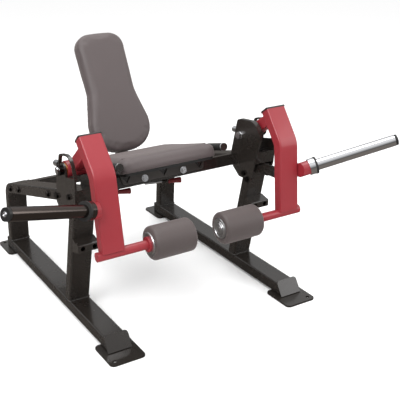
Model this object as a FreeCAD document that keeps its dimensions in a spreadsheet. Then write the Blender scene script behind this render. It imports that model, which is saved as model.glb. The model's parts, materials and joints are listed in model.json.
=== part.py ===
"""Plate-loaded seated leg extension machine with two independent arms.

Millimetres, +Z up, +Y towards the back of the machine, X across it. The user sits facing -Y.
The origin is on the floor, under the middle of the machine's bounding box.
Every length below is a cell of the sheet called "sizes"; the sub-parts are bound to those cells.
"""

import FreeCAD
import Part

import math
import os
import re

import Sketcher
from FreeCAD import Placement, Rotation, Vector

doc = FreeCAD.newDocument("leg_extension_machine")
sheet = doc.addObject("Spreadsheet::Sheet", "sizes")

# ---------------------------------------------------------------- driving sizes
SIZES = {
    # side frames: one tube section throughout
    "frame_width": 960,          # over the outer faces of the two side frames
    "tube_width": 95,            # across the machine
    "tube_depth": 50,            # the tube's other side
    "tube_wall": 3,
    "tube_round": 8,             # outer corner radius of the tube
    "foot_thick": 8,
    "foot_width": 155,
    "foot_length": 168,
    "foot_round": 20,
    "foot_hole_radius": 8,
    "foot_hole_inset": 26,       # hole centre from the plate's outer and end edges
    "front_foot_y": -490,        # front edge of the front foot plates
    "rear_foot_y": 855,          # rear edge of the rear foot plates
    "base_front_y": -372,        # front end of a base beam, along its top
    "base_slant": 33,            # how much further the same end reaches at the floor
    "base_rear_y": 786,
    "cap_thick": 6,
    "cap_rise": 14,              # the slanted caps stand this much above the beam
    "cap_side": 6,               # and this much beyond each side of it
    "front_post_y": -15,         # front face of the front post, at the base beam
    "front_lean": 14.6,          # degrees from upright, forwards
    "rear_post_y": 724,          # front face of the rear post, at the base beam
    "rear_lean": 4.7,            # degrees from upright, forwards
    "rail_height": 579,          # top of the side rail above y = 0
    "rail_pitch": 15.8,          # degrees, rising to the front
    "rail_front_y": -177,
    "rail_bend": 35,             # inner radius where the rear post turns into the rail
    # knee pivot housings
    "pivot_y": -66,
    "pivot_height": 686,
    "plate_thick": 8,
    "plate_nose": 158,           # pivot to the plate's front corner
    "plate_crown": 88,           # pivot to the top of the plate
    "plate_drop": 200,           # pivot to the bottom of the plate
    "plate_back": 72,            # pivot to the plate's rearmost edge
    "hoop_width": 14,
    "hoop_thick": 6,
    "shaft_radius": 15,
    "hub_radius": 35,
    "hub_gap": 0.3,              # hub bush flange to plate, each end
    "bush_wall": 5,
    "bush_flange": 4,
    "bush_length": 28,
    "running_fit": 0.05,         # radial clearance of a shaft in its bush
    "washer_rim": 3,             # washer beyond its shaft
    "washer_thick": 4,
    "nut_across": 30,
    "nut_thick": 12,
    # start-position pins, radial to the pivots
    "pin_inset": 28,             # the pins' line in from the frame's outer face
    "pin_angle": -8.2,           # degrees below the line straight back from the pivot
    "pin_radius": 6,
    "pin_nose": 37,              # pivot to the tip of the pin
    "pin_sleeve_start": 46,
    "pin_sleeve_end": 104,
    "pin_sleeve_radius": 12,
    "pin_knob_radius": 14,
    "pin_knob_start": 120,
    "pin_knob_end": 160,
    "lug_radius": 43,            # the hub's stop lug, which rests on the pin from below
    "lug_width": 18,
    "lug_deep": 16,
    "lug_clear": 0.4,
    # stop brackets and rest stops on the front posts
    "stop_height": 392,          # top of the stop bracket at the post
    "stop_reach": 54,            # how far it stands forward of the post
    "stop_deep": 62,             # height of the bracket at the post
    "stop_face": 32,             # height of its front face
    "stop_sheet": 5,
    "stop_hole_radius": 10,
    "stop_hole_spacing": 52,
    "rest_height": 560,          # middle of the round rest stop
    "rest_radius": 24,
    "rest_buffer": 38,           # length of the rubber on its end
    "rest_gap": 0.4,
    # arms, measured from the pivot
    "left_lift": 5.5,            # degrees that the left arm is held forward of its rest stop
    "arm_reach": 287,            # pivot forward to the arm's bend, on its front face
    "arm_bend_rise": 31,
    "arm_head": 168,             # bend to top, along the front face
    "arm_leg": 307,              # bend to bottom
    "head_lean": 37.3,           # degrees from upright
    "leg_lean": 4.1,
    "arm_bend": 50,              # inner radius of the bend
    "arm_cap": 8,
    "arm_plug": 15,
    "plug_clear": 0.2,
    "link_angle": 34,            # degrees above straight ahead
    "link_size": 50,
    # weight sleeves
    "horn_yaw": 22.9,            # degrees forward of straight out
    "horn_pitch": 15,            # degrees up
    "horn_y": -285,              # where the sleeve's axis crosses the middle of the arm
    "horn_z": -110,
    "stub_radius": 31,
    "stub_end": 96,              # from the middle of the arm, as are the next lengths outwards
    "collar_radius": 36,
    "collar_length": 26,
    "ring_radius": 38,
    "ring_length": 9,
    "sleeve_radius": 25,
    "sleeve_wall": 4,
    "sleeve_neck": 21,           # radius under the collar and the rubber ring
    "sleeve_length": 359,        # free length for plates
    "sleeve_cap": 12,
    "sleeve_cap_radius": 24,
    # leg rollers
    "roller_shaft_radius": 19,
    "roller_shaft_drop": 10,     # shaft centre below the arm's bottom edge
    "roller_shaft_out": 18,      # shaft beyond the arm's outer face
    "roller_inner_x": 81,
    "roller_length": 187,
    "roller_radius": 70,
    "roller_core_radius": 30,
    "roller_gap": 0.5,           # between the roller and the fixed disc on its shaft
    "roller_disc_radius": 31,
    "roller_disc_thick": 8,
    "roller_flange_radius": 42,
    "roller_flange_thick": 5,
    "roller_cap_radius": 45,
    "roller_cap_thick": 9,       # stands in a recess in the foam's inner end
    "roller_hub_radius": 26,
    "roller_hub_thick": 4,
    # seat and its frame, on a slope parallel to the side rails
    "cross_size": 50,            # front crossbeam and spine
    "cross_wall": 3,
    "front_cross_start": -21,    # along the slope, from the point above y = 0
    "rear_cross_start": 576,
    "flange_thick": 8,
    "front_flange_start": 16,
    "front_flange_end": 171,
    "rear_flange_start": 534,
    "rear_flange_end": 708,
    "bolt_radius": 8,
    "bolt_head": 6,
    "bolt_washer_radius": 16,
    "bolt_washer_thick": 3,
    "support_thick": 5,
    "apron_deep": 43,
    "apron_thick": 6,
    "apron_width": 422,
    "seat_width": 470,
    "seat_rear_width": 436,
    "seat_start": -116,          # seat's front edge along the slope
    "seat_length": 430,
    "seat_foam": 57,
    "seat_board": 15,
    "seat_round": 32,
    "board_inset": 12,
    "notch_spacing": 183,
    "notch_width": 54,
    "notch_deep": 37,
    "apron_bolt_spacing": 194,
    "handle_x": 257,
    "handle_radius": 13,
    "handle_grip_radius": 17,
    "handle_bend": 34,
    "handle_start": -136,
    "handle_grip_length": 125,
    "handle_root": 62,           # where the handle bars leave the spine
    "handle_rise": 77,           # bar above the rail's middle line
    # back rest
    "back_y": 309,               # bottom of the back cushion's front face
    "back_height": 582,
    "back_lean": 28.7,
    "back_length": 582,
    "back_top_width": 246,
    "back_waist_width": 236,
    "back_low_width": 306,
    "back_foam": 52,
    "back_board": 15,
    "carriage_start": 322,
    "carriage_length": 110,
    "carriage_wall": 5,
    "carriage_clear": 0.5,
    "upright_length": 440,
    "clamp_radius": 6,
    "clamp_boss_radius": 13,
    "clamp_boss": 12,
    "clamp_knob_radius": 24,
    "clamp_knob_thick": 20,
    # pull rods under the seat
    "rod_y": 60,
    "rod_height": 488,
    "rod_yaw": 15,
    "rod_radius": 6,
    "rod_tail": 92,              # from the guide's middle to the rod's plain end
    "rod_nose": 16,              # from the guide's middle to the grip
    "rod_guide_radius": 11,
    "rod_guide_length": 24,
    "rod_collar_radius": 9,
    "rod_grip_length": 62,
    "rod_grip_small": 8.5,
    "rod_grip_large": 14,
    "right_rod_x": 48,
    "left_rod_x": -210,
}
# the sheet's last cell moves the whole machine so that its box is centred on the origin
SIZES["origin_shift"] = 0

for row, (alias, number) in enumerate(SIZES.items(), start=1):
    sheet.set(f"A{row}", str(number))
    sheet.setAlias(f"A{row}", alias)
    sheet.set(f"B{row}", alias.replace("_", " "))
SHIFT_CELL = f"A{len(SIZES)}"
doc.recompute()

ALIAS = re.compile(r"\b(" + "|".join(sorted(SIZES, key=len, reverse=True)) + r")\b")
X_AXIS, Y_AXIS, Z_AXIS = Vector(1, 0, 0), Vector(0, 1, 0), Vector(0, 0, 1)
SIDES = {"left": -1, "right": 1}
nodes = {}


# ---------------------------------------------------------------- helpers
def worth(expression):
    """The number that an expression over the sheet's aliases gives now."""
    return float(sheet.evalExpression(str(expression)))


def bind(item, **properties):
    """Ties each property of an object to an expression over the sheet's aliases."""
    for name, expression in properties.items():
        item.setExpression(name, ALIAS.sub(r"sizes.\1", str(expression)))
    return item


def place(item, x=0, y=0, z=0, turn=0, axis=X_AXIS):
    """Puts an object at (x, y, z), turned about axis by an angle in degrees, bound to the sheet."""
    item.Placement = Placement(Vector(), Rotation(axis, 1))
    for name, expression in (("Base.x", x), ("Base.y", y), ("Base.z", z), ("Rotation.Angle", turn)):
        item.setExpression(f"Placement.{name}", ALIAS.sub(r"sizes.\1", str(expression)))
    return item


def on_floor(item, x=0, y=0, z=0, turn=0, axis=X_AXIS):
    """As place, for a finished sub-part: y is measured from the frame's own zero."""
    return place(item, x, f"({y}) + origin_shift", z, turn, axis)


def aim(item, start, direction):
    """Turns a piece that was made along +Z so that it starts at start and points along direction."""
    item.Placement = Placement(Vector(*start), Rotation(Z_AXIS, Vector(*direction)))
    return item


def keep(label, item):
    """Records a finished sub-part under the name of its node."""
    item.Label = label
    nodes[label] = item
    return item


def outline_body(name, plane, loops, thickness, circles=()):
    """A body padded from closed outlines. Corners are (u, v) expressions; circles are (u, v, radius)."""
    body = doc.addObject("PartDesign::Body", name)
    sketch = body.newObject("Sketcher::SketchObject", name + "_sketch")
    origin_plane = [f for f in body.Origin.OriginFeatures if f.Role == plane][0]
    sketch.AttachmentSupport = [(origin_plane, "")]
    sketch.MapMode = "FlatFace"
    first = 0
    for corners in loops:
        spots = [Vector(worth(u), worth(v), 0) for u, v in corners]
        count = len(spots)
        for i in range(count):
            sketch.addGeometry(Part.LineSegment(spots[i], spots[(i + 1) % count]))
        for i in range(count):
            sketch.addConstraint(Sketcher.Constraint("Coincident", first + i, 2, first + (i + 1) % count,
                                                     1))
            for kind, expression, number in (("DistanceX", corners[i][0], spots[i].x),
                                             ("DistanceY", corners[i][1], spots[i].y)):
                index = sketch.addConstraint(Sketcher.Constraint(kind, -1, 1, first + i, 1, number))
                bind(sketch, **{f"Constraints[{index}]": expression})
        first += count
    for u, v, radius in circles:
        sketch.addGeometry(Part.Circle(Vector(worth(u), worth(v), 0), Z_AXIS, worth(radius)))
        for kind, expression in (("DistanceX", u), ("DistanceY", v)):
            index = sketch.addConstraint(Sketcher.Constraint(kind, -1, 1, first, 3, worth(expression)))
            bind(sketch, **{f"Constraints[{index}]": expression})
        index = sketch.addConstraint(Sketcher.Constraint("Radius", first, worth(radius)))
        bind(sketch, **{f"Constraints[{index}]": radius})
        first += 1
    pad = body.newObject("PartDesign::Pad", name + "_pad")
    pad.Profile = sketch
    bind(pad, Length=thickness)
    doc.recompute()
    return body


FLAT_AXES = {"YZ_Plane": (1, 2, 0), "XY_Plane": (0, 1, 2), "XZ_Plane": (0, 2, 1)}


def round_corners(body, plane, corners, radius):
    """Fillets the edges that stand on the given outline corners, all with one radius."""
    u_axis, v_axis, through = FLAT_AXES[plane]
    base = body.Tip
    spots = [(worth(u), worth(v)) for u, v in corners]
    chosen = []
    for i, edge in enumerate(base.Shape.Edges, start=1):
        a, b = edge.Vertexes[0].Point, edge.Vertexes[-1].Point
        straight = abs(a[u_axis] - b[u_axis]) + abs(a[v_axis] - b[v_axis]) < 0.01
        if straight and abs(a[through] - b[through]) > 0.01:
            if any(math.hypot(a[u_axis] - u, a[v_axis] - v) < 0.05 for u, v in spots):
                chosen.append(f"Edge{i}")
    fillet = body.newObject("PartDesign::Fillet", body.Name + "_round")
    fillet.Base = (base, chosen)
    bind(fillet, Radius=radius)
    doc.recompute()
    return body


def round_rims(body, plane, radius, open_ends=()):
    """Fillets the outline edges of both flat faces, except those that lie on an open end."""
    u_axis, v_axis, through = FLAT_AXES[plane]
    base = body.Tip
    ends = [(worth(u), worth(v)) for u, v in open_ends]
    chosen = []
    for i, edge in enumerate(base.Shape.Edges, start=1):
        middle = edge.CenterOfMass
        lies_flat = all(abs(v.Point[through] - middle[through]) < 0.01 for v in edge.Vertexes)
        if lies_flat and not any(math.hypot(middle[u_axis] - u, middle[v_axis] - v) < 1 for u, v in ends):
            chosen.append(f"Edge{i}")
    fillet = body.newObject("PartDesign::Fillet", body.Name + "_rims")
    fillet.Base = (base, chosen)
    bind(fillet, Radius=radius)
    doc.recompute()
    return body


def hollow(body, plane, open_ends, wall):
    """Makes a solid bar into a tube: the faces at the open ends go, and the wall grows inwards."""
    u_axis, v_axis, _ = FLAT_AXES[plane]
    base = body.Tip
    ends = [(worth(u), worth(v)) for u, v in open_ends]
    faces = []
    for i, face in enumerate(base.Shape.Faces, start=1):
        middle = face.CenterOfMass
        if any(math.hypot(middle[u_axis] - u, middle[v_axis] - v) < 1 for u, v in ends):
            faces.append(f"Face{i}")
    shell = body.newObject("PartDesign::Thickness", body.Name + "_wall")
    shell.Base = (base, faces)
    shell.Reversed = True
    bind(shell, Value=wall)
    doc.recompute()
    return body


def midpoint(a, b):
    """The point halfway between two corners, as expressions."""
    return f"(({a[0]}) + ({b[0]})) / 2", f"(({a[1]}) + ({b[1]})) / 2"


def cylinder(name, radius, length, **extra):
    """A Part cylinder along +Z from the origin."""
    return bind(doc.addObject("Part::Cylinder", name), Radius=radius, Height=length, **extra)


def cone(name, radius_low, radius_high, length):
    """A Part cone along +Z from the origin."""
    return bind(doc.addObject("Part::Cone", name), Radius1=radius_low, Radius2=radius_high, Height=length)


def box(name, length, width, height):
    """A Part box with one corner at the origin."""
    return bind(doc.addObject("Part::Box", name), Length=length, Width=width, Height=height)


def hexagon(name, across, length):
    """A hexagonal bar along +Z, given its size across flats."""
    bar = doc.addObject("Part::Prism", name)
    bar.Polygon = 6
    return bind(bar, Circumradius=f"({across}) / 2 / cos(30)", Height=length)


def cut(name, base, *tools):
    """base with every tool taken out of it."""
    for number, tool in enumerate(tools):
        step = doc.addObject("Part::Cut", f"{name}_cut{number}")
        step.Base, step.Tool = base, tool
        base = step
    return base


def fuse(name, *pieces):
    """Pieces welded into one."""
    joined = doc.addObject("Part::MultiFuse", name + "_fuse")
    joined.Shapes = list(pieces)
    return joined


def group(name, pieces):
    """Separate solids that share one node."""
    together = doc.addObject("Part::Compound", name + "_group")
    together.Links = list(pieces)
    return together


def tube(name, radius, bore, length):
    """A round tube along +Z."""
    return cut(name, cylinder(name + "_outer", radius, length), cylinder(name + "_bore", bore, length))


def inner_edge(side):
    """x of the lower-x face of a side frame's tubes."""
    return "frame_width / 2 - tube_width" if SIDES[side] > 0 else "-frame_width / 2"


# ---------------------------------------------------------------- side frames
BASE_TOP = "(foot_thick + tube_depth)"
RAIL_UNDER = "(rail_height - tube_depth / cos(rail_pitch))"


def meet(foot, lean, height):
    """Where a post face that leaves the base beam at y = foot meets a rail line given over y = 0."""
    y = f"(({foot}) - tan({lean}) * ({height} - {BASE_TOP})) / (1 - tan({lean}) * tan(rail_pitch))"
    return y, f"({height} - tan(rail_pitch) * ({y}))"


def side_tube(name, side, corners, open_ends, bends=()):
    """A tube of a side frame: its side outline, padded across the machine, bent, rounded and hollowed."""
    body = outline_body(name, "YZ_Plane", [corners], "tube_width")
    for corner, radius in bends:
        round_corners(body, "YZ_Plane", [corner], radius)
    round_rims(body, "YZ_Plane", "tube_round", open_ends)
    hollow(body, "YZ_Plane", open_ends, "tube_wall")
    return keep(name, on_floor(body, x=inner_edge(side)))


for side in SIDES:
    base_corners = [("base_front_y - base_slant", "foot_thick"), ("base_rear_y", "foot_thick"),
                    ("base_rear_y", BASE_TOP), ("base_front_y", BASE_TOP)]
    side_tube(f"{side}_base_beam", side, base_corners,
              [midpoint(base_corners[1], base_corners[2]), midpoint(base_corners[3], base_corners[0])])

    post_back = "(front_post_y + tube_depth / cos(front_lean))"
    post_corners = [("front_post_y", BASE_TOP), (post_back, BASE_TOP),
                    meet(post_back, "front_lean", RAIL_UNDER),
                    meet("front_post_y", "front_lean", RAIL_UNDER)]
    side_tube(f"{side}_front_post", side, post_corners,
              [midpoint(post_corners[0], post_corners[1]), midpoint(post_corners[2], post_corners[3])])

    rear_back = "(rear_post_y + tube_depth / cos(rear_lean))"
    outer_bend = meet(rear_back, "rear_lean", "rail_height")
    inner_bend = meet("rear_post_y", "rear_lean", RAIL_UNDER)
    rail_top = ("rail_front_y", "rail_height - tan(rail_pitch) * rail_front_y")
    rail_low = ("rail_front_y", f"{RAIL_UNDER} - tan(rail_pitch) * rail_front_y")
    rail_corners = [("rear_post_y", BASE_TOP), (rear_back, BASE_TOP), outer_bend, rail_top, rail_low,
                    inner_bend]
    side_tube(f"{side}_side_rail", side, rail_corners,
              [midpoint(rail_corners[0], rail_corners[1]), midpoint(rail_top, rail_low)],
              bends=[(inner_bend, "rail_bend"), (outer_bend, "rail_bend + tube_depth")])

# foot plates: rounded plates with one floor bolt hole in the outer corner
plates = []
for end, near, far in (("front", "front_foot_y", "front_foot_y + foot_length"),
                       ("rear", "rear_foot_y - foot_length", "rear_foot_y")):
    for side, sign in SIDES.items():
        middle = f"({sign} * (frame_width - tube_width) / 2)"
        low, high = f"{middle} - foot_width / 2", f"{middle} + foot_width / 2"
        hole_x = f"{high} - foot_hole_inset" if sign > 0 else f"{low} + foot_hole_inset"
        hole_y = f"{near} + foot_hole_inset" if end == "front" else f"{far} - foot_hole_inset"
        corners = [(low, near), (high, near), (high, far), (low, far)]
        plate = outline_body(f"{side}_{end}_foot", "XY_Plane", [corners], "foot_thick",
                             circles=[(hole_x, hole_y, "foot_hole_radius")])
        plates.append(round_corners(plate, "XY_Plane", corners, "foot_round"))
keep("foot_plates", on_floor(group("foot_plates", plates)))

# end caps of the base beams: slanted plates in front, upright ones behind
SLANT = "atan(base_slant / tube_depth)"
caps = []
for side in SIDES:
    corners = [("-cap_side", "0"), ("tube_width + cap_side", "0"),
               ("tube_width + cap_side", f"tube_depth / cos({SLANT}) + cap_rise"),
               ("-cap_side", f"tube_depth / cos({SLANT}) + cap_rise")]
    front_cap = outline_body(f"{side}_front_cap", "XZ_Plane", [corners], "cap_thick")
    round_corners(front_cap, "XZ_Plane", corners[2:], "2 * tube_round")
    place(front_cap, inner_edge(side), "base_front_y - base_slant", "foot_thick", f"-({SLANT})")
    rear_cap = box(f"{side}_rear_cap", "tube_width", "cap_thick", "tube_depth")
    place(rear_cap, inner_edge(side), "base_rear_y", "foot_thick")
    rail_cap = box(f"{side}_rail_cap", "tube_width", "cap_thick / 2", "tube_depth / cos(rail_pitch)")
    place(rail_cap, inner_edge(side), "rail_front_y - cap_thick / 2", rail_low[1])
    caps += [front_cap, rear_cap, rail_cap]
keep("tube_end_caps", on_floor(group("end_caps", caps)))

# stop brackets: folded sheet boxes on the front posts, with two holes in the front face
brackets = []
for side in SIDES:
    face = f"(front_post_y - tan(front_lean) * (stop_height - {BASE_TOP}))"
    foot = f"(front_post_y - tan(front_lean) * (stop_height - stop_deep - {BASE_TOP}))"
    corners = [(face, "stop_height"), (f"{face} - stop_reach", "stop_height - 0.22 * stop_reach"),
               (f"{face} - stop_reach", "stop_height - 0.22 * stop_reach - stop_face"),
               (foot, "stop_height - stop_deep")]
    bracket = outline_body(f"{side}_stop", "YZ_Plane", [corners], "tube_width")
    round_corners(bracket, "YZ_Plane", corners[1:3], "stop_sheet + 2")
    hollow(bracket, "YZ_Plane", [midpoint(corners[0], corners[3])], "stop_sheet")
    holes = []
    for number, offset in enumerate((-0.5, 0.5)):
        hole = cylinder(f"{side}_stop_hole{number}", "stop_hole_radius", "2 * stop_sheet")
        place(hole, f"tube_width / 2 + {offset} * stop_hole_spacing",
              f"{face} - stop_reach + 1.5 * stop_sheet",
              "stop_height - 0.22 * stop_reach - stop_face / 2", 90)
        holes.append(hole)
    brackets.append(place(cut(f"{side}_stop_bracket", bracket, *holes), inner_edge(side)))
keep("stop_brackets", on_floor(group("stop_brackets", brackets)))

# rest stops: a round post on a wedge that squares it to the arm, with a rubber buffer on the end
BEND_OVER_REST = "(pivot_height + arm_bend_rise - rest_height)"
ARM_BACK = f"(pivot_y - arm_reach - tan(leg_lean) * {BEND_OVER_REST} + tube_depth / cos(leg_lean))"
REST_FACE = f"(front_post_y - tan(front_lean) * (rest_height - {BASE_TOP}))"
stops, buffers = [], []
for side in SIDES:
    middle = f"({inner_edge(side)} + tube_width / 2)"
    low_z, high_z = "rest_height - 1.3 * rest_radius", "rest_height + 0.3 * rest_radius"
    wedge_corners = [(f"{REST_FACE} + tan(front_lean) * 1.3 * rest_radius", low_z),
                     (f"{REST_FACE} - tan(front_lean) * 0.3 * rest_radius", high_z),
                     (f"{REST_FACE} - 28", high_z), (f"{REST_FACE} - 28", low_z)]
    wedge = outline_body(f"{side}_rest_wedge", "YZ_Plane", [wedge_corners], "2.6 * rest_radius")
    place(wedge, f"{middle} - 1.3 * rest_radius")
    run = f"({REST_FACE} - {ARM_BACK}) / cos(leg_lean)"
    post = cylinder(f"{side}_rest_post", "rest_radius", f"{run} - rest_buffer - rest_gap - 26.5")
    place(post, middle, f"{ARM_BACK} + (rest_gap + rest_buffer) * cos(leg_lean)",
          "rest_height - (rest_gap + rest_buffer) * sin(leg_lean)", "270 - leg_lean")
    stops.append(fuse(f"{side}_rest_stop", wedge, post))
    buffer_pad = cylinder(f"{side}_rest_buffer", "rest_radius - 1", "rest_buffer")
    place(buffer_pad, middle, f"{ARM_BACK} + rest_gap * cos(leg_lean)",
          "rest_height - rest_gap * sin(leg_lean)",
          "270 - leg_lean")
    buffers.append(buffer_pad)
keep("rest_stops", on_floor(group("rest_stops", stops)))
keep("rest_buffers", on_floor(group("rest_buffers", buffers)))


# ---------------------------------------------------------------- pivot housings
def from_pivot(*corners):
    """Corners given from the pivot, as corners of the machine's side view."""
    return [(f"pivot_y + ({y})", f"pivot_height + ({z})") for y, z in corners]


plate_outline = from_pivot(("6", "-plate_drop"), ("-80", "6 - plate_drop"), ("-plate_nose", "24"),
                           ("-104", "plate_crown"), ("24", "plate_crown - 16"), ("plate_back", "-96"),
                           ("plate_back - 4", "-156"))
plate_rounds = ["12", "12", "20", "62", "26", "50", "40"]
outer_outline = from_pivot(("6", "-plate_drop"), ("-80", "6 - plate_drop"), ("-109", "-115"),
                           ("-120", "-2"),
                           ("plate_back", "-45"), ("plate_back + 18", "-165"), ("plate_back", "-181"))
hoop_outer = from_pivot(("plate_back - 6", "-54"), ("28", "plate_crown - 27"), ("-86", "plate_crown - 2"),
                        ("-120", "-14"))
hoop_inner = from_pivot(("-120 + 1.1 * hoop_thick", "-14"), ("-82", "plate_crown - 2 - 1.2 * hoop_thick"),
                        ("28 - hoop_thick", "plate_crown - 27 - hoop_thick"),
                        ("plate_back - 6 - hoop_thick", "-54"))
rim_outer = from_pivot(("46", "-5.4"), ("24", "plate_crown - 16"), ("-104", "plate_crown"),
                       ("-148", "35.9"))
rim_inner = from_pivot(("-148 + 1.2 * hoop_thick", "35.9 - 0.9 * hoop_thick"),
                       ("-101", "plate_crown - 1.15 * hoop_thick"),
                       ("24 - 0.8 * hoop_thick", "plate_crown - 16 - hoop_thick"),
                       ("46 - hoop_thick", "-5.4"))
BOLT_LINE = "(rail_height - tube_depth / cos(rail_pitch) / 2)"


def on_bolt_line(y):
    """A point on the middle line of the side rail."""
    return y, f"({BOLT_LINE} - tan(rail_pitch) * ({y}))"


PLATE_BOLTS = [on_bolt_line("pivot_y + 74"), on_bolt_line("pivot_y - 52")]

for side, sign in SIDES.items():
    inside = "frame_width / 2 - tube_width" if sign > 0 else "-frame_width / 2 + tube_width"
    outside = "frame_width / 2" if sign > 0 else "-frame_width / 2"
    pivot_hole = ("pivot_y", "pivot_height", "shaft_radius")
    plate = outline_body(f"{side}_inner_plate", "YZ_Plane", [plate_outline], "plate_thick",
                         circles=[pivot_hole])
    for corner, radius in zip(plate_outline, plate_rounds):
        round_corners(plate, "YZ_Plane", [corner], radius)
    rim = outline_body(f"{side}_rim", "YZ_Plane", [rim_outer + rim_inner], "plate_thick + hoop_width")
    round_corners(rim, "YZ_Plane", [rim_outer[1]], "26")
    round_corners(rim, "YZ_Plane", [rim_inner[2]], "20")
    round_corners(rim, "YZ_Plane", [rim_outer[2]], "62")
    round_corners(rim, "YZ_Plane", [rim_inner[1]], "56")
    place(rim, "0" if sign > 0 else "-hoop_width")
    x = f"{inside} - plate_thick" if sign > 0 else inside
    keep(f"{side}_inner_plate", on_floor(fuse(f"{side}_inner", plate, rim), x=x))

    cover = outline_body(f"{side}_outer_cover", "YZ_Plane", [outer_outline], "plate_thick")
    round_corners(cover, "YZ_Plane", outer_outline[:2], "12")
    lug_corners = from_pivot(("-28.5", "-70"), ("28.5", "-70"), ("28.5", "28.5"), ("-28.5", "28.5"))
    lug = outline_body(f"{side}_shaft_lug", "YZ_Plane", [lug_corners], "plate_thick")
    round_corners(lug, "YZ_Plane", lug_corners[2:], "28")
    hoop = outline_body(f"{side}_hoop", "YZ_Plane", [hoop_outer + hoop_inner], "hoop_width")
    round_corners(hoop, "YZ_Plane", [hoop_outer[1]], "26")
    round_corners(hoop, "YZ_Plane", [hoop_inner[2]], "20")
    round_corners(hoop, "YZ_Plane", [hoop_outer[2]], "56")
    round_corners(hoop, "YZ_Plane", [hoop_inner[1]], "50")
    place(hoop, "plate_thick - hoop_width" if sign > 0 else "0")
    bore = cylinder(f"{side}_outer_bore", "shaft_radius", "3 * hoop_width")
    place(bore, "-hoop_width", "pivot_y", "pivot_height", 90, Y_AXIS)
    cover_plate = cut(f"{side}_outer", fuse(f"{side}_outer", cover, lug, hoop), bore)
    x = outside if sign > 0 else f"{outside} - plate_thick"
    keep(f"{side}_outer_plate", on_floor(cover_plate, x=x))

# shafts through both plates, a bolt head and washer inside, a ring nut outside
shafts, nuts, washers = [], [], []
for side, sign in SIDES.items():
    inside = "(frame_width / 2 - tube_width - plate_thick)"
    run = "(tube_width + 2 * plate_thick)"
    turn = 90 * sign
    shaft = place(cylinder(f"{side}_shaft", "shaft_radius", f"{run} + washer_thick + 26"),
                  f"{sign} * ({inside} - washer_thick)", "pivot_y", "pivot_height", turn, Y_AXIS)
    shafts.append(shaft)
    washer = tube(f"{side}_shaft_washer", "shaft_radius + washer_rim", "shaft_radius", "washer_thick")
    place(washer, f"{sign} * ({inside} - washer_thick)", "pivot_y", "pivot_height", turn, Y_AXIS)
    head = place(hexagon(f"{side}_shaft_head", "nut_across", "nut_thick"),
                 f"{sign} * ({inside} - washer_thick - nut_thick)", "pivot_y", "pivot_height", turn, Y_AXIS)
    ring = tube(f"{side}_ring_nut", "shaft_radius + 5", "shaft_radius", "nut_thick + 6")
    place(ring, f"{sign} * ({inside} + {run})", "pivot_y", "pivot_height", turn, Y_AXIS)
    nuts += [washer, head, ring]
keep("pivot_shafts", on_floor(group("pivot_shafts", shafts)))
keep("pivot_nuts", on_floor(group("pivot_nuts", nuts)))


# ---------------------------------------------------------------- start pins, radial to the pivots
PIN_X = "(frame_width / 2 - pin_inset)"


def along_pin(item, side, start, offset_x="0"):
    """Lays a piece made along +Z on the pin's line, starting at a distance from the pivot."""
    sign = SIDES[side]
    return place(item, f"{sign} * {PIN_X} + {offset_x}", f"pivot_y + ({start}) * cos(pin_angle)",
                 f"pivot_height + ({start}) * sin(pin_angle)", "270 + pin_angle")


housings = []
for side, sign in SIDES.items():
    sleeve = along_pin(tube(f"{side}_pin_sleeve", "pin_sleeve_radius", "pin_radius + running_fit",
                            "pin_sleeve_end - pin_sleeve_start"), side, "pin_sleeve_start")
    reach = f"(frame_width / 2 + plate_thick - hoop_width - {PIN_X})"
    block = box(f"{side}_pin_block", f"{reach} - pin_radius - 3", "18", "24")
    half = "9"
    x = "pin_radius + 3" if sign > 0 else f"-{reach}"
    along_pin(block, side, "pin_sleeve_start", x)
    block.setExpression("Placement.Base.y", ALIAS.sub(r"sizes.\1",
                        f"pivot_y + pin_sleeve_start * cos(pin_angle) + {half} * sin(pin_angle)"))
    block.setExpression("Placement.Base.z", ALIAS.sub(r"sizes.\1",
                        f"pivot_height + pin_sleeve_start * sin(pin_angle) + {half} * cos(pin_angle)"))
    housing = cut(f"{side}_pin_housing", fuse(f"{side}_pin_housing", sleeve, block))
    housings.append(housing)
    plunger = along_pin(cylinder(f"{side}_plunger", "pin_radius", "pin_knob_start - pin_nose + 4"), side,
                        "pin_nose")
    knob_body = along_pin(cylinder(f"{side}_knob_body", "pin_knob_radius", "pin_knob_end - pin_knob_start"),
                          side,
                          "pin_knob_start")
    knob = fuse(f"{side}_start_pin", plunger, knob_body)
    keep(f"{side}_start_pin", on_floor(knob))
keep("pin_housings", on_floor(group("pin_housings", housings)))

# ---------------------------------------------------------------- arms, measured from the pivot
HUB_HALF = "(tube_width / 2 - hub_gap - bush_flange)"
ARM_GAP = "(arm_reach * cos(head_lean) + arm_bend_rise * sin(head_lean) - tube_depth)"
BEND = ("-arm_reach", "arm_bend_rise")
TOP = ("-arm_reach + arm_head * sin(head_lean)", "arm_bend_rise + arm_head * cos(head_lean)")
TOP_BACK = (f"{TOP[0]} + tube_depth * cos(head_lean)", f"{TOP[1]} - tube_depth * sin(head_lean)")
LOW = ("-arm_reach - arm_leg * sin(leg_lean)", "arm_bend_rise - arm_leg * cos(leg_lean)")
LOW_BACK = (f"{LOW[0]} + tube_depth * cos(leg_lean)", f"{LOW[1]} - tube_depth * sin(leg_lean)")
HALF_BEND = "((head_lean - leg_lean) / 2)"
MITRE = "((head_lean + leg_lean) / 2)"
BEND_BACK = (f"-arm_reach + tube_depth * cos({MITRE}) / cos({HALF_BEND})",
             f"arm_bend_rise - tube_depth * sin({MITRE}) / cos({HALF_BEND})")
ROLLER_Y = midpoint(LOW, LOW_BACK)[0]
ROLLER_Z = f"({midpoint(LOW, LOW_BACK)[1]} - roller_shaft_drop)"
arm_corners = [TOP, BEND, LOW, LOW_BACK, BEND_BACK, TOP_BACK]


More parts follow.
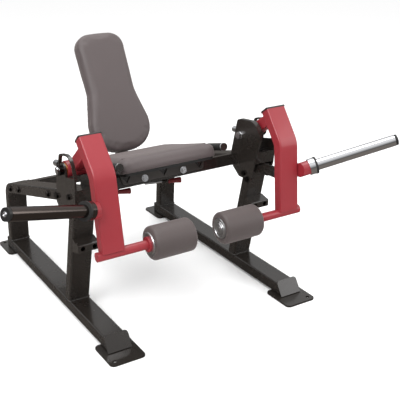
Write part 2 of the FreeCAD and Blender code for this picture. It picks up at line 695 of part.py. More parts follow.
def link_corner(offset):
    """Where the arm's rear face meets a line parallel to the link, at an offset above its middle."""
    run = f"(({ARM_GAP} + ({offset}) * sin(link_angle - head_lean)) / cos(link_angle - head_lean))"
    return (f"-{run} * cos(link_angle) + ({offset}) * sin(link_angle)",
            f"{run} * sin(link_angle) + ({offset}) * cos(link_angle)")


def on_arm(side, item):
    """Puts a piece that is measured from the pivot into the machine, turned to its arm's rest position."""
    lift = "0" if SIDES[side] > 0 else "-left_lift"
    return on_floor(item, 0, "pivot_y", "pivot_height", lift)


def along_x(item, side, start, y="0", z="0"):
    """Lays a piece made along +Z across the machine, outwards from x = start on the given side."""
    return place(item, f"{SIDES[side]} * ({start})", y, z, 90 * SIDES[side], Y_AXIS)


def horn_piece(item, side, start):
    """Lays a piece made along +Z on the weight sleeve's axis, from a distance to the arm's middle."""
    sign = SIDES[side]
    yaw, pitch = math.radians(worth("horn_yaw")), math.radians(worth("horn_pitch"))
    direction = (sign * math.cos(pitch) * math.cos(yaw), -math.cos(pitch) * math.sin(yaw), math.sin(pitch))
    along = worth(start)
    foot = (sign * worth("(frame_width - tube_width) / 2"), worth("horn_y"), worth("horn_z"))
    return aim(item, [foot[i] + along * direction[i] for i in range(3)], direction)


for side, sign in SIDES.items():
    # bent tube with its ends open, cut to sit on the roller shaft
    bar = outline_body(f"{side}_arm_bar", "YZ_Plane", [arm_corners], "tube_width")
    round_corners(bar, "YZ_Plane", [BEND_BACK], "arm_bend")
    round_corners(bar, "YZ_Plane", [BEND], "arm_bend + tube_depth")
    arm_ends = [midpoint(TOP, TOP_BACK), midpoint(LOW, LOW_BACK)]
    round_rims(bar, "YZ_Plane", "tube_round", arm_ends)
    hollow(bar, "YZ_Plane", arm_ends, "tube_wall")
    place(bar, inner_edge(side))
    saddle = along_x(cylinder(f"{side}_saddle", "roller_shaft_radius", "2 * tube_width"), side,
                     "frame_width / 2 - 1.5 * tube_width", ROLLER_Y, ROLLER_Z)
    keep(f"{side}_arm_tube", on_arm(side, cut(f"{side}_arm_tube", bar, saddle)))

    # plastic cap with a plug, at the top of the arm
    cap_corners = [TOP, (f"{TOP[0]} + arm_cap * sin(head_lean)", f"{TOP[1]} + arm_cap * cos(head_lean)"),
                   (f"{TOP_BACK[0]} + arm_cap * sin(head_lean)",
                    f"{TOP_BACK[1]} + arm_cap * cos(head_lean)"),
                   TOP_BACK]
    lid = outline_body(f"{side}_cap_lid", "YZ_Plane", [cap_corners], "tube_width")
    round_corners(lid, "YZ_Plane", cap_corners[1:3], "4")
    place(lid, inner_edge(side))
    inset = "(tube_wall + plug_clear)"
    plug = box(f"{side}_cap_plug", f"tube_width - 2 * {inset} - 8", f"tube_depth - 2 * {inset} - 8",
               "arm_plug")
    place(plug, f"{inner_edge(side)} + {inset} + 4",
          f"{TOP[0]} + ({inset} + 4) * cos(head_lean) - arm_plug * sin(head_lean)",
          f"{TOP[1]} - ({inset} + 4) * sin(head_lean) - arm_plug * cos(head_lean)", "-head_lean")
    keep(f"{side}_arm_cap", on_arm(side, fuse(f"{side}_arm_cap", lid, plug)))

    # hub, link and stop lug, welded into one
    link_corners = [("-12 * cos(link_angle) + link_size / 2 * sin(link_angle)",
                     "12 * sin(link_angle) + link_size / 2 * cos(link_angle)"),
                    link_corner("link_size / 2"), link_corner("-link_size / 2"),
                    ("-12 * cos(link_angle) - link_size / 2 * sin(link_angle)",
                     "12 * sin(link_angle) - link_size / 2 * cos(link_angle)")]
    link = outline_body(f"{side}_link_bar", "YZ_Plane", [link_corners], "link_size")
    round_rims(link, "YZ_Plane", "6", [midpoint(link_corners[1], link_corners[2]),
                                       midpoint(link_corners[3], link_corners[0])])
    place(link, f"{sign} * (frame_width - tube_width) / 2 - link_size / 2")
    hub = along_x(cylinder(f"{side}_hub_tube", "hub_radius", f"2 * {HUB_HALF}"), side,
                  f"(frame_width - tube_width) / 2 - {HUB_HALF}")
    lug_turn = "pin_angle" if sign > 0 else "pin_angle + left_lift"
    lug_corners = [("24", "-pin_radius - lug_clear"), ("24", "-pin_radius - lug_clear - lug_deep"),
                   ("sqrt(lug_radius ^ 2 - (pin_radius + lug_clear + lug_deep) ^ 2)",
                    "-pin_radius - lug_clear - lug_deep"),
                   ("sqrt(lug_radius ^ 2 - (pin_radius + lug_clear) ^ 2)", "-pin_radius - lug_clear")]
    lug = outline_body(f"{side}_lug", "YZ_Plane", [lug_corners], "lug_width")
    place(lug, f"{sign} * {PIN_X} - lug_width / 2", 0, 0, lug_turn)
    hub_bore = along_x(cylinder(f"{side}_hub_bore", "shaft_radius + bush_wall", "2 * tube_width"), side,
                       "frame_width / 2 - 1.5 * tube_width")
    keep(f"{side}_arm_link", on_arm(side, cut(f"{side}_arm_link", fuse(f"{side}_arm_link", link, hub, lug),
                                              hub_bore)))

    # two flanged bushes
    bushes = []
    for number, (start, length_sign) in enumerate(((f"(frame_width - tube_width) / 2 - {HUB_HALF}", 1),
                                                   (f"(frame_width - tube_width) / 2 + {HUB_HALF}", -1))):
        flange_start = f"{start} - bush_flange" if length_sign > 0 else start
        body_start = start if length_sign > 0 else f"{start} - bush_length"
        flange = along_x(cylinder(f"{side}_bush_flange{number}", "hub_radius - 6", "bush_flange"), side,
                         flange_start)
        barrel = along_x(cylinder(f"{side}_bush_barrel{number}", "shaft_radius + bush_wall", "bush_length"),
                         side,
                         body_start)
        bush_bore = along_x(cylinder(f"{side}_bush_bore{number}", "shaft_radius + running_fit",
                                     "bush_length + bush_flange + 2"), side,
                            f"{start} - bush_flange - 1" if length_sign > 0 else f"{start} - bush_length - 1")
        bushes.append(cut(f"{side}_bush{number}", fuse(f"{side}_bush{number}", flange, barrel), bush_bore))
    keep(f"{side}_hub_bushes", on_arm(side, group(f"{side}_bushes", bushes)))

    # weight sleeve: stub welded to the arm, collar, rubber ring, sleeve and end cap
    stub_solid = horn_piece(cylinder(f"{side}_stub_solid", "stub_radius", "stub_end"), side, "0")
    trim = box(f"{side}_stub_trim", "frame_width", "frame_width", "frame_width")
    place(trim, "-frame_width / 2" if sign > 0 else "-frame_width / 2", "-frame_width", "-frame_width")
    keep(f"{side}_sleeve_stub", on_arm(side, cut(f"{side}_stub", stub_solid, trim)))
    collar = horn_piece(tube(f"{side}_collar", "collar_radius", "sleeve_neck", "collar_length"), side,
                        "stub_end")
    neck = horn_piece(cylinder(f"{side}_neck", "sleeve_neck", "collar_length + ring_length"), side,
                      "stub_end")
    ring = horn_piece(tube(f"{side}_ring", "ring_radius", "sleeve_neck", "ring_length"), side,
                      "stub_end + collar_length")
    keep(f"{side}_sleeve_ring", on_arm(side, group(f"{side}_ring", [ring])))
    free_start = "stub_end + collar_length + ring_length"
    barrel = horn_piece(cylinder(f"{side}_barrel", "sleeve_radius", "sleeve_length"), side, free_start)
    barrel_bore = horn_piece(cylinder(f"{side}_barrel_bore", "sleeve_radius - sleeve_wall",
                                      "sleeve_length"), side,
                             f"{free_start} + 8")
    keep(f"{side}_weight_sleeve",
         on_arm(side, cut(f"{side}_sleeve", fuse(f"{side}_sleeve", collar, neck, barrel),
                                                   barrel_bore)))
    end_disc = horn_piece(cylinder(f"{side}_end_disc", "sleeve_cap_radius", "sleeve_cap"), side,
                          f"{free_start} + sleeve_length")
    end_plug = horn_piece(cylinder(f"{side}_end_plug", "sleeve_radius - sleeve_wall - plug_clear",
                                   "sleeve_cap"), side,
                          f"{free_start} + sleeve_length - sleeve_cap")
    keep(f"{side}_sleeve_cap", on_arm(side, fuse(f"{side}_sleeve_cap", end_disc, end_plug)))

    # roller: a fixed shaft with a disc; the foam turns on a core tube
    shaft_start = "roller_inner_x + roller_cap_thick + roller_hub_thick + 4"
    roller_shaft = along_x(cylinder(f"{side}_roller_shaft", "roller_shaft_radius",
                                    f"frame_width / 2 + roller_shaft_out - ({shaft_start})"), side,
                                    shaft_start,
                           ROLLER_Y, ROLLER_Z)
    disc = along_x(cylinder(f"{side}_roller_disc", "roller_disc_radius", "roller_disc_thick"), side,
                   "roller_inner_x + roller_length + roller_flange_thick + roller_gap", ROLLER_Y, ROLLER_Z)
    keep(f"{side}_roller_shaft", on_arm(side, fuse(f"{side}_roller_shaft", roller_shaft, disc)))
    core_start = "roller_inner_x + roller_cap_thick"
    core = along_x(tube(f"{side}_core", "roller_core_radius", "roller_shaft_radius + running_fit",
                        "roller_length - roller_cap_thick + roller_flange_thick"), side, core_start,
                   ROLLER_Y, ROLLER_Z)
    flange = along_x(tube(f"{side}_core_flange", "roller_flange_radius",
                          "roller_shaft_radius + running_fit",
                          "roller_flange_thick"), side, "roller_inner_x + roller_length", ROLLER_Y,
                          ROLLER_Z)
    cap_disc = along_x(cylinder(f"{side}_roller_cap_disc", "roller_cap_radius", "roller_cap_thick"), side,
                       "roller_inner_x", ROLLER_Y, ROLLER_Z)
    cap_hub = along_x(cylinder(f"{side}_roller_cap_hub", "roller_hub_radius", "roller_hub_thick"), side,
                      "roller_inner_x - roller_hub_thick", ROLLER_Y, ROLLER_Z)
    keep(f"{side}_roller_core", on_arm(side, fuse(f"{side}_core", core, flange, cap_disc, cap_hub)))
    foam_solid = cylinder(f"{side}_foam_solid", "roller_radius", "roller_length")
    foam_round = doc.addObject("Part::Fillet", f"{side}_foam_round")
    foam_round.Base = foam_solid
    doc.recompute()
    foam_round.Edges = [(i, 10, 10) for i, edge in enumerate(foam_solid.Shape.Edges, start=1)
                        if len(edge.Vertexes) == 1]
    foam_bore = cylinder(f"{side}_foam_bore", "roller_core_radius", "roller_length")
    foam_recess = cylinder(f"{side}_foam_recess", "roller_cap_radius", "roller_cap_thick")
    foam = along_x(cut(f"{side}_foam", foam_round, foam_bore, foam_recess), side, "roller_inner_x",
                   ROLLER_Y, ROLLER_Z)
    keep(f"{side}_roller_foam", on_arm(side, group(f"{side}_foam", [foam])))


# ---------------------------------------------------------------- seat and crossbeams, on the slope
def on_slope(label, item):
    """Keeps a node whose own axes are: x across, y back along the rails' slope, z square to it."""
    return keep(label, on_floor(item, 0, 0, BOLT_LINE, "-rail_pitch"))


def square_tube(name, x, y, z, length, width, height, along):
    """A straight square tube whose box starts at (x, y, z); along is the axis that it is open at."""
    outer = place(box(name + "_outer", length, width, height), x, y, z)
    wall = "cross_wall"
    if along == "x":
        inner = place(box(name + "_inner", length, f"{width} - 2 * {wall}", f"{height} - 2 * {wall}"),
                      x, f"{y} + {wall}", f"{z} + {wall}")
    else:
        inner = place(box(name + "_inner", f"{length} - 2 * {wall}", width, f"{height} - 2 * {wall}"),
                      f"{x} + {wall}", y, f"{z} + {wall}")
    return cut(name, outer, inner)


HALF_GAP = "(frame_width / 2 - tube_width)"
for end, start, width, flange_start, flange_end in (
        ("front", "front_cross_start", "cross_size", "front_flange_start", "front_flange_end"),
        ("rear", "rear_cross_start", "tube_width", "rear_flange_start", "rear_flange_end")):
    bar = square_tube(f"{end}_cross", f"-{HALF_GAP} + flange_thick", start, "-cross_size / 2",
                      f"2 * ({HALF_GAP} - flange_thick)", width, "cross_size", "x")
    flanges = []
    for sign in (-1, 1):
        x = f"{HALF_GAP} - flange_thick" if sign > 0 else f"-{HALF_GAP}"
        flanges.append(place(box(f"{end}_flange{sign + 1}", "flange_thick",
                                 f"{flange_end} - {flange_start}",
                                 "cross_size"), x, flange_start, "-cross_size / 2"))
    on_slope(f"{end}_crossbeam", fuse(f"{end}_crossbeam", bar, *flanges))

spine_start = "front_cross_start + cross_size"
on_slope("seat_spine", square_tube("spine", "-cross_size / 2", spine_start, "-cross_size / 2", "cross_size",
                                   f"rear_cross_start - ({spine_start})", "cross_size", "y"))

# support plate with a front apron; three triangular openings run down from the seat board
top_plate = place(box("support_top", "apron_width", "cross_size + 34", "support_thick"),
                  "-apron_width / 2", "front_cross_start - apron_thick", "cross_size / 2")
drop = "(cross_size / 2 - apron_deep + support_thick)"
apron_corners = [("-apron_width / 2", "cross_size / 2"), ("-apron_width / 2 + 10", drop),
                 ("apron_width / 2 - 10", drop), ("apron_width / 2", "cross_size / 2")]
apron = outline_body("apron", "XZ_Plane", [apron_corners], "apron_thick")
round_corners(apron, "XZ_Plane", apron_corners[1:3], "14")
place(apron, 0, "front_cross_start", 0)
notches = []
for number in (-1, 0, 1):
    notch = outline_body(f"notch{number + 1}", "XZ_Plane", [[
        (f"{number} * notch_spacing - notch_width / 2", "cross_size / 2 + support_thick"),
        (f"{number} * notch_spacing", "cross_size / 2 + support_thick - notch_deep"),
        (f"{number} * notch_spacing + notch_width / 2", "cross_size / 2 + support_thick")]], "apron_thick")
    notches.append(place(notch, 0, "front_cross_start"))
on_slope("seat_support", cut("seat_support", fuse("seat_support", top_plate, apron), *notches))

# seat: plywood board and a cushion with a rounded front
BOARD_LOW = "(cross_size / 2 + support_thick)"


def seat_outline(inset):
    """The seat's outline from above, drawn in from its edge by inset."""
    return [(f"-seat_width / 2 + {inset}", f"seat_start + {inset}"),
            (f"seat_width / 2 - {inset}", f"seat_start + {inset}"),
            (f"seat_rear_width / 2 - {inset}", f"seat_start + seat_length - {inset}"),
            (f"-seat_rear_width / 2 + {inset}", f"seat_start + seat_length - {inset}")]


board_corners = seat_outline("board_inset")
board = outline_body("seat_board", "XY_Plane", [board_corners], "seat_board")
round_corners(board, "XY_Plane", board_corners, "seat_round - board_inset")
place(board, 0, 0, BOARD_LOW)
on_slope("seat_board", group("seat_board", [board]))
cushion_corners = seat_outline("0")
cushion = outline_body("seat_foam", "XY_Plane", [cushion_corners], "seat_foam")
round_corners(cushion, "XY_Plane", cushion_corners, "seat_round")
top = cushion.Tip
upper = []
for i, edge in enumerate(top.Shape.Edges, start=1):
    if all(abs(v.Z - worth("seat_foam")) < 0.01 for v in edge.Vertexes):
        upper.append(f"Edge{i}")
soften = cushion.newObject("PartDesign::Fillet", "seat_soften")
soften.Base = (top, upper)
bind(soften, Radius="seat_foam * 0.42")
place(cushion, 0, 0, f"{BOARD_LOW} + seat_board")
on_slope("seat_cushion", group("seat_cushion", [cushion]))


# handle bars: out from the spine, up past the seat and forward
def elbow(name, corner, before, after):
    """A quarter bend of bar; corner is where its two straight lines would meet."""
    bend = worth("handle_bend")
    bar = bind(doc.addObject("Part::Torus", name), Radius1="handle_bend", Radius2="handle_radius")
    bar.Angle3 = 90
    spot = Vector(*[worth(c) for c in corner])
    bar.Placement = Placement(spot - before * bend + after * bend,
                              Rotation(-after, before, before.cross(after), "ZXY"))
    return bar


handle_bars, grips = [], []
for side, sign in SIDES.items():
    root_z = "0"
    out = X_AXIS * sign
    first = place(cylinder(f"{side}_handle_out", "handle_radius",
                           "handle_x - cross_size / 2 - handle_bend"),
                  f"{sign} * cross_size / 2", "handle_root", root_z, 90 * sign, Y_AXIS)
    bend_low = elbow(f"{side}_handle_bend0", (f"{sign} * handle_x", "handle_root", root_z), out, Z_AXIS)
    up = place(cylinder(f"{side}_handle_up", "handle_radius", "handle_rise - 2 * handle_bend"),
               f"{sign} * handle_x", "handle_root", "handle_bend")
    bend_high = elbow(f"{side}_handle_bend1", (f"{sign} * handle_x", "handle_root", "handle_rise"), Z_AXIS,
                      Y_AXIS * -1)
    forward = place(cylinder(f"{side}_handle_forward", "handle_radius",
                             "handle_root - handle_bend - handle_start"),
                    f"{sign} * handle_x", "handle_root - handle_bend", "handle_rise", 90)
    end_cap = place(cylinder(f"{side}_grip_cap", "handle_grip_radius", "5"),
                    f"{sign} * handle_x", "handle_start", "handle_rise", 90)
    handle_bars.append(fuse(f"{side}_handle", first, bend_low, up, bend_high, forward, end_cap))
    grips.append(place(tube(f"{side}_grip", "handle_grip_radius", "handle_radius", "handle_grip_length"),
                       f"{sign} * handle_x", "handle_start + handle_grip_length", "handle_rise", 90))
on_slope("handle_bars", group("handle_bars", handle_bars))
on_slope("handle_grips", group("handle_grips", grips))

# ---------------------------------------------------------------- back rest
sin_lean, cos_lean = "sin(back_lean)", "cos(back_lean)"


def on_back(label, item):
    """Keeps a node whose own axes are: x across, y backwards from the cushion's face, z up along it."""
    return keep(label, on_floor(item, 0, "back_y", "back_height", "-back_lean"))


def back_outline(inset):
    """The bell-shaped outline of the back rest, drawn in from its edge by inset."""
    half = [("back_low_width / 2", "0", 0, 1), ("back_low_width / 2", "back_length * 0.25", 0, 0),
            ("back_waist_width / 2", "back_length * 0.5", 0, 0),
            ("back_top_width / 2", "back_length", 0, -1)]
    right = [(f"{x} - {inset}", f"{z} + {end} * {inset}") for x, z, _, end in half]
    left = [(f"-({x})", z) for x, z in reversed(right)]
    return right + left


def back_slab(name, inset, thickness, start):
    """One layer of the back rest."""
    corners = back_outline(inset)
    slab = outline_body(name, "XZ_Plane", [corners], thickness)
    round_corners(slab, "XZ_Plane", [corners[0], corners[-1]], f"125 - {inset}")
    round_corners(slab, "XZ_Plane", [corners[3], corners[4]], f"70 - {inset}")
    round_corners(slab, "XZ_Plane", [corners[1], corners[2], corners[5], corners[6]], "120")
    return place(slab, 0, f"{start} + {thickness}")


back_foam = back_slab("back_foam", "0", "back_foam", "0")
base = back_foam.Tip
face_edges = []
for i, edge in enumerate(base.Shape.Edges, start=1):
    if all(abs(v.Y + worth("back_foam")) < 0.01 for v in edge.Vertexes):
        face_edges.append(f"Edge{i}")
soften = back_foam.newObject("PartDesign::Fillet", "back_soften")
soften.Base = (base, face_edges)
bind(soften, Radius="back_foam * 0.35")
on_back("back_cushion", group("back_cushion", [back_foam]))
on_back("back_board",
        group("back_board", [back_slab("back_board", "board_inset", "back_board", "back_foam")]))

# carriage: a sleeve round the spine, with the upright that carries the back rest
SLEEVE_IN = "(cross_size / 2 + carriage_clear)"
SLEEVE_OUT = "(cross_size / 2 + carriage_clear + carriage_wall)"


def slope_point(y, z):
    """A point of the back rest's own side view, in the slope's axes."""
    lean = math.radians(worth("back_lean"))
    pitch = math.radians(worth("rail_pitch"))
    down = worth(BOLT_LINE)
    across = worth("back_y") + z * math.sin(lean) + y * math.cos(lean)
    height = worth("back_height") + z * math.cos(lean) - y * math.sin(lean) - down
    return (across * math.cos(pitch) - height * math.sin(pitch),
            across * math.sin(pitch) + height * math.cos(pitch))


def drop_to(y, level):
    """How far down a line parallel to the back rest, y behind its face, a slope level lies."""
    low, high = -400.0, 400.0
    for _ in range(60):
        middle = (low + high) / 2
        if slope_point(y, middle)[1] > level:
            high = middle
        else:
            low = middle
    return low


BACK_PLANE = "back_foam + back_board"
front_foot = drop_to(worth(BACK_PLANE), worth(SLEEVE_OUT))
rear_foot = drop_to(worth(f"{BACK_PLANE} + cross_size"), worth(SLEEVE_OUT))
sleeve_block = place(box("carriage_block", f"2 * {SLEEVE_OUT}", "carriage_length", f"2 * {SLEEVE_OUT}"),
                     f"-{SLEEVE_OUT}", "carriage_start", f"-{SLEEVE_OUT}")
sleeve_bore = place(box("carriage_bore", f"2 * {SLEEVE_IN}", "carriage_length", f"2 * {SLEEVE_IN}"),
                    f"-{SLEEVE_IN}", "carriage_start", f"-{SLEEVE_IN}")
boss = place(cylinder("clamp_boss", "clamp_boss_radius", "clamp_boss"), f"-{SLEEVE_OUT} - clamp_boss",
             "carriage_start + carriage_length / 2", 0, 90, Y_AXIS)
clamp_bore = place(cylinder("clamp_bore", "clamp_radius + running_fit", "clamp_boss + carriage_wall + 4"),
                   f"-{SLEEVE_OUT} - clamp_boss - 2", "carriage_start + carriage_length / 2", 0, 90, Y_AXIS)
upright_shape = outline_body("upright", "YZ_Plane", [[
    (BACK_PLANE, str(front_foot)), (f"{BACK_PLANE} + cross_size", str(rear_foot)),
    (f"{BACK_PLANE} + cross_size", "upright_length"), (BACK_PLANE, "upright_length")]], "cross_size")
round_rims(upright_shape, "YZ_Plane", "5", [
    (f"{BACK_PLANE} + cross_size / 2", str((front_foot + rear_foot) / 2)),
    (f"{BACK_PLANE} + cross_size / 2", "upright_length")])
hollow(upright_shape, "YZ_Plane", [(f"{BACK_PLANE} + cross_size / 2", str((front_foot + rear_foot) / 2))],
       "cross_wall")
place(upright_shape, "-cross_size / 2")
# the upright is drawn in the back rest's axes, and turned here into the slope's
lean, pitch = math.radians(worth("back_lean")), math.radians(worth("rail_pitch"))
foot_u, foot_w = slope_point(0, 0)
holder = group("upright_holder", [upright_shape])
holder.Placement = Placement(Vector(0, foot_u, foot_w), Rotation(X_AXIS, worth("rail_pitch - back_lean")))
on_slope("back_carriage",
         cut("back_carriage", fuse("back_carriage", sleeve_block, boss, holder), sleeve_bore,
                              clamp_bore))

# clamp knob on the carriage's left side; its screw stops just short of the spine
screw = place(cylinder("clamp_screw", "clamp_radius", "clamp_boss + carriage_wall + 10"),
              f"-{SLEEVE_OUT} - clamp_boss - 10", "carriage_start + carriage_length / 2", 0, 90, Y_AXIS)
knob = place(cylinder("clamp_knob_body", "clamp_knob_radius", "clamp_knob_thick"),
             f"-{SLEEVE_OUT} - clamp_boss - 6 - clamp_knob_thick", "carriage_start + carriage_length / 2",
             0, 90,
             Y_AXIS)
on_slope("clamp_knob", fuse("clamp_knob", screw, knob))


# ---------------------------------------------------------------- pull rods under the seat
def along_rod(item, side, start):
    """Lays a piece made along +Z on a pull rod's axis, from a distance beyond the middle of its guide."""
    yaw = math.radians(worth("rod_yaw"))
    direction = (math.cos(yaw), -math.sin(yaw), 0)
    foot = (worth(f"{side}_rod_x"), worth("rod_y"), worth("rod_height"))
    return aim(item, [foot[i] + worth(start) * direction[i] for i in range(3)], direction)


guides = []
for side in SIDES:
    guide = along_rod(cylinder(f"{side}_guide_body", "rod_guide_radius", "rod_guide_length"), side,
                      "-rod_guide_length / 2")
    under = f"({BOLT_LINE} - cross_size / 2 / cos(rail_pitch))"
    hanger_corners = [("-4", f"{under} + 4 * tan(rail_pitch) + 0.01"),
                      ("30", f"{under} - 30 * tan(rail_pitch)"),
                      ("rod_y + 8", "rod_height + 2"), ("rod_y + 7", "rod_height - 4"),
                      ("rod_y - 8", "rod_height - 4")]
    hanger = outline_body(f"{side}_hanger", "YZ_Plane", [hanger_corners], "6")
    place(hanger, f"{side}_rod_x - 3")
    guide_bore = along_rod(cylinder(f"{side}_guide_bore", "rod_radius + running_fit",
                                    "3 * rod_guide_length"), side,
                           "-1.5 * rod_guide_length")
    guides.append(cut(f"{side}_guide", fuse(f"{side}_guide", guide, hanger), guide_bore))
    rod = along_rod(cylinder(f"{side}_rod_bar", "rod_radius", "rod_tail + rod_nose + 10"), side,
                    "-rod_tail")
    grip = along_rod(cone(f"{side}_rod_taper", "rod_grip_small", "rod_grip_large", "rod_grip_length"), side,
                     "rod_nose")
    keep(f"{side}_pull_rod", on_floor(cut(f"{side}_pull_rod_end", rod, grip)))
    keep(f"{side}_rod_grip", on_floor(group(f"{side}_rod_grip", [grip])))
keep("rod_guides", on_floor(group("rod_guides", guides)))

# ---------------------------------------------------------------- bolts
bolts = []


def bolt_on(x, y, z, sign, washer="bolt_washer_radius"):
    """A washer and hexagon head on a face that is square to x and faces the side given by sign."""
    name = f"bolt{len(bolts)}"
    disc = place(cylinder(name + "_washer", washer, "bolt_washer_thick"), x, y, z, 90 * sign, Y_AXIS)
    head = place(hexagon(name + "_head", "2 * bolt_radius + 6", "bolt_head"),
                 f"{x} + {sign} * bolt_washer_thick",
                 y, z, 90 * sign, Y_AXIS)
    bolts.append(fuse(name, disc, head))


for side, sign in SIDES.items():
    for y in ("pivot_y + 106", "206 + pivot_y", "601 + pivot_y", "726 + pivot_y"):
        bolt_on(f"{sign} * frame_width / 2", *on_bolt_line(y), sign)
    for y, z in PLATE_BOLTS:
        bolt_on(f"{sign} * (frame_width / 2 + plate_thick)", y, z, sign, "bolt_radius + 4")
    for y, z in (("pivot_y - 34", "pivot_height - 172"), ("pivot_y - 61", "pivot_height - 194")):
        bolt_on(f"{sign} * (frame_width / 2 - tube_width - plate_thick)", y, z, -sign, "bolt_radius + 4")
apron_bolts = []
for sign in (-1, 1):
    x = f"{sign} * apron_bolt_spacing / 2"
    disc = place(cylinder(f"apron_washer{sign + 1}", "bolt_washer_radius", "bolt_washer_thick"), x,
                 "front_cross_start - apron_thick", 0, 90)
    head = place(hexagon(f"apron_head{sign + 1}", "2 * bolt_radius + 2", "bolt_head"), x,
                 "front_cross_start - apron_thick - bolt_washer_thick", 0, 90)
    apron_bolts.append(fuse(f"apron_bolt{sign + 1}", disc, head))
apron_group = place(group("apron_bolts", apron_bolts), 0, 0, BOLT_LINE, "-rail_pitch")
keep("frame_bolts", on_floor(group("frame_bolts", bolts + [apron_group])))

# ---------------------------------------------------------------- finish
doc.recompute()


def machine_box():
    """The bounding box of every node together."""
    total = FreeCAD.BoundBox()
    for item in nodes.values():
        total.add(item.Shape.optimalBoundingBox(False, False))
    return total


faults = []
for item in doc.Objects:
    if "Invalid" in item.State or "Error" in item.State:
        faults.append(f"{item.Name}: {item.State}")
for label, item in nodes.items():
    shape = item.Shape
    if shape.isNull() or not shape.isValid() or shape.Volume <= 0:
        faults.append(f"{label}: bad shape")
if faults:
    raise RuntimeError("; ".join(faults))

whole = machine_box()
sheet.set(SHIFT_CELL, str(-(whole.YMin + whole.YMax) / 2))
doc.recompute()

os.makedirs("parts", exist_ok=True)
for label, item in nodes.items():
    item.Shape.exportStep(f"parts/{label}.step")
whole = machine_box()
print(f"{len(nodes)} nodes, {whole.XLength:.1f} x {whole.YLength:.1f} x {whole.ZLength:.1f} mm,",
      f"x {whole.XMin:.2f} to {whole.XMax:.2f}, y {whole.YMin:.2f} to {whole.YMax:.2f},",
      f"z {whole.ZMin:.2f} to {whole.ZMax:.2f}, shift {worth('origin_shift'):.3f}")
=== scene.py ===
# %% [markdown]
# # A plate-loaded leg extension machine, dressed on its CAD frame
#
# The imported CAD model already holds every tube, plate, shaft and bolt at its real size, so this lesson
# doesn't model them again. It gives them paint and plating, and makes the pieces that a CAD solid can't
# show well: stuffed cushions, foam rollers, turned grips and knobs, sewn welts and weld beads.
# Everything is in metres. X runs across the machine, -Y is the front and Z is up.

# %% Load the CAD frame
import bmesh
import bpy
import json
import math
import numpy as np
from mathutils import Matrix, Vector


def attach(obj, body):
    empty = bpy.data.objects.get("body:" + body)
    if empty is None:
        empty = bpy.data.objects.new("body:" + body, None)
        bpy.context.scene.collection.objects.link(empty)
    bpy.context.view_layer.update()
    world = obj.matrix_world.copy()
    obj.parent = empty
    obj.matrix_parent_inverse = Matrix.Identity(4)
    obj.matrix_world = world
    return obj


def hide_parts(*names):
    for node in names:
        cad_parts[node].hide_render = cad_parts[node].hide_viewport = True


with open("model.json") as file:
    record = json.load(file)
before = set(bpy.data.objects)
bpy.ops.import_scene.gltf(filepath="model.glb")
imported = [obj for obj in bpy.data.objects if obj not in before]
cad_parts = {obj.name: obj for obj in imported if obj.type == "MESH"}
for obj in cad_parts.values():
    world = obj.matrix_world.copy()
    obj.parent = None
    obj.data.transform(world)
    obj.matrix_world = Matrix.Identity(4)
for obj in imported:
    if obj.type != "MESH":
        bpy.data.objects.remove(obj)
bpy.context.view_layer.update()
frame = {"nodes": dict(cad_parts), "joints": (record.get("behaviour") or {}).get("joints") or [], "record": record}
nodes = frame["nodes"]
joints = {joint["name"]: joint for joint in frame["joints"]}
mounts = {mount["name"]: mount for mount in frame["record"]["mounts"]}
MM = 0.001
PIVOT_Y = -66      # the knee pivots' place in the design, in mm from its own origin
SHIFT = joints["right_arm_swing"]["pos_m"][1] / MM - PIVOT_Y      # how far the packing moved that origin
print(len(nodes), "CAD nodes,", len(joints), "joints, design shifted by", round(SHIFT, 1), "mm")

# %% [markdown]
# ## The camera
#
# A long lens from the machine's front left, above it and looking down, keeps the tubes almost parallel.
# The place and the angles are set directly, because a camera that tracks an object would need a
# constraint that gives nothing more here.

# %% Place the camera
AZIMUTH, ELEVATION, ROLL = math.radians(-31.92), math.radians(22.10), math.radians(0.19)
LENS, SENSOR = 70.23, 36.0      # focal length and film width, in mm
EYE = (-1.57412, -2.85025 + SHIFT * MM, 1.74712)
eye = bpy.data.cameras.new("camera")
eye.lens, eye.sensor_width = LENS, SENSOR
eye.clip_start, eye.clip_end = 0.05, 50.0
camera = bpy.data.objects.new("camera", eye)
bpy.context.scene.collection.objects.link(camera)
back = Vector((math.sin(AZIMUTH) * math.cos(ELEVATION), -math.cos(AZIMUTH) * math.cos(ELEVATION),
               math.sin(ELEVATION)))
turn = back.to_track_quat("Z", "Y").to_matrix().to_4x4()
camera.location = EYE
camera.rotation_euler = turn.to_euler()
camera.rotation_euler.rotate_axis("Z", -ROLL)
bpy.context.scene.camera = camera
print("camera", [round(v, 3) for v in camera.location])

# %% [markdown]
# ## Colour and node helpers
#
# Colours are picked as sRGB hex values, the way a paint chart gives them. Shaders work in linear light,
# so one function converts them. A second function adds any shader node, sets it up and links it.


# %% Colour and node helpers
def linear(code):
    """sRGB hex to linear RGBA.

    A value v under 0.04045 becomes v / 12.92, and any other becomes ((v + 0.055) / 1.055) to the power 2.4.
    """
    values = [int(code[i:i + 2], 16) / 255 for i in (1, 3, 5)]
    return tuple(v / 12.92 if v <= 0.04045 else ((v + 0.055) / 1.055) ** 2.4 for v in values) + (1.0,)


def add(tree, kind, sockets=None, **settings):
    """Adds a node, applies its settings and fills its sockets: a socket is linked, and a value is set."""
    node = tree.nodes.new(kind)
    for name, value in settings.items():
        setattr(node, name, value)
    for name, value in (sockets or {}).items():
        target = node.inputs[name]
        if isinstance(value, bpy.types.NodeSocket):
            tree.links.new(value, target)
        else:
            target.default_value = value
    return node


def start_material(name):
    """An empty node material with its output, and Object coordinates in metres."""
    material = bpy.data.materials.new(name)
    material.use_nodes = True
    tree = material.node_tree
    tree.nodes.clear()
    output = add(tree, "ShaderNodeOutputMaterial")
    place = add(tree, "ShaderNodeTexCoord").outputs["Object"]
    return material, tree, output, place


def finish_material(tree, output, shader):
    """Links the finished shader to the material's output."""
    tree.links.new(shader.outputs[0], output.inputs["Surface"])


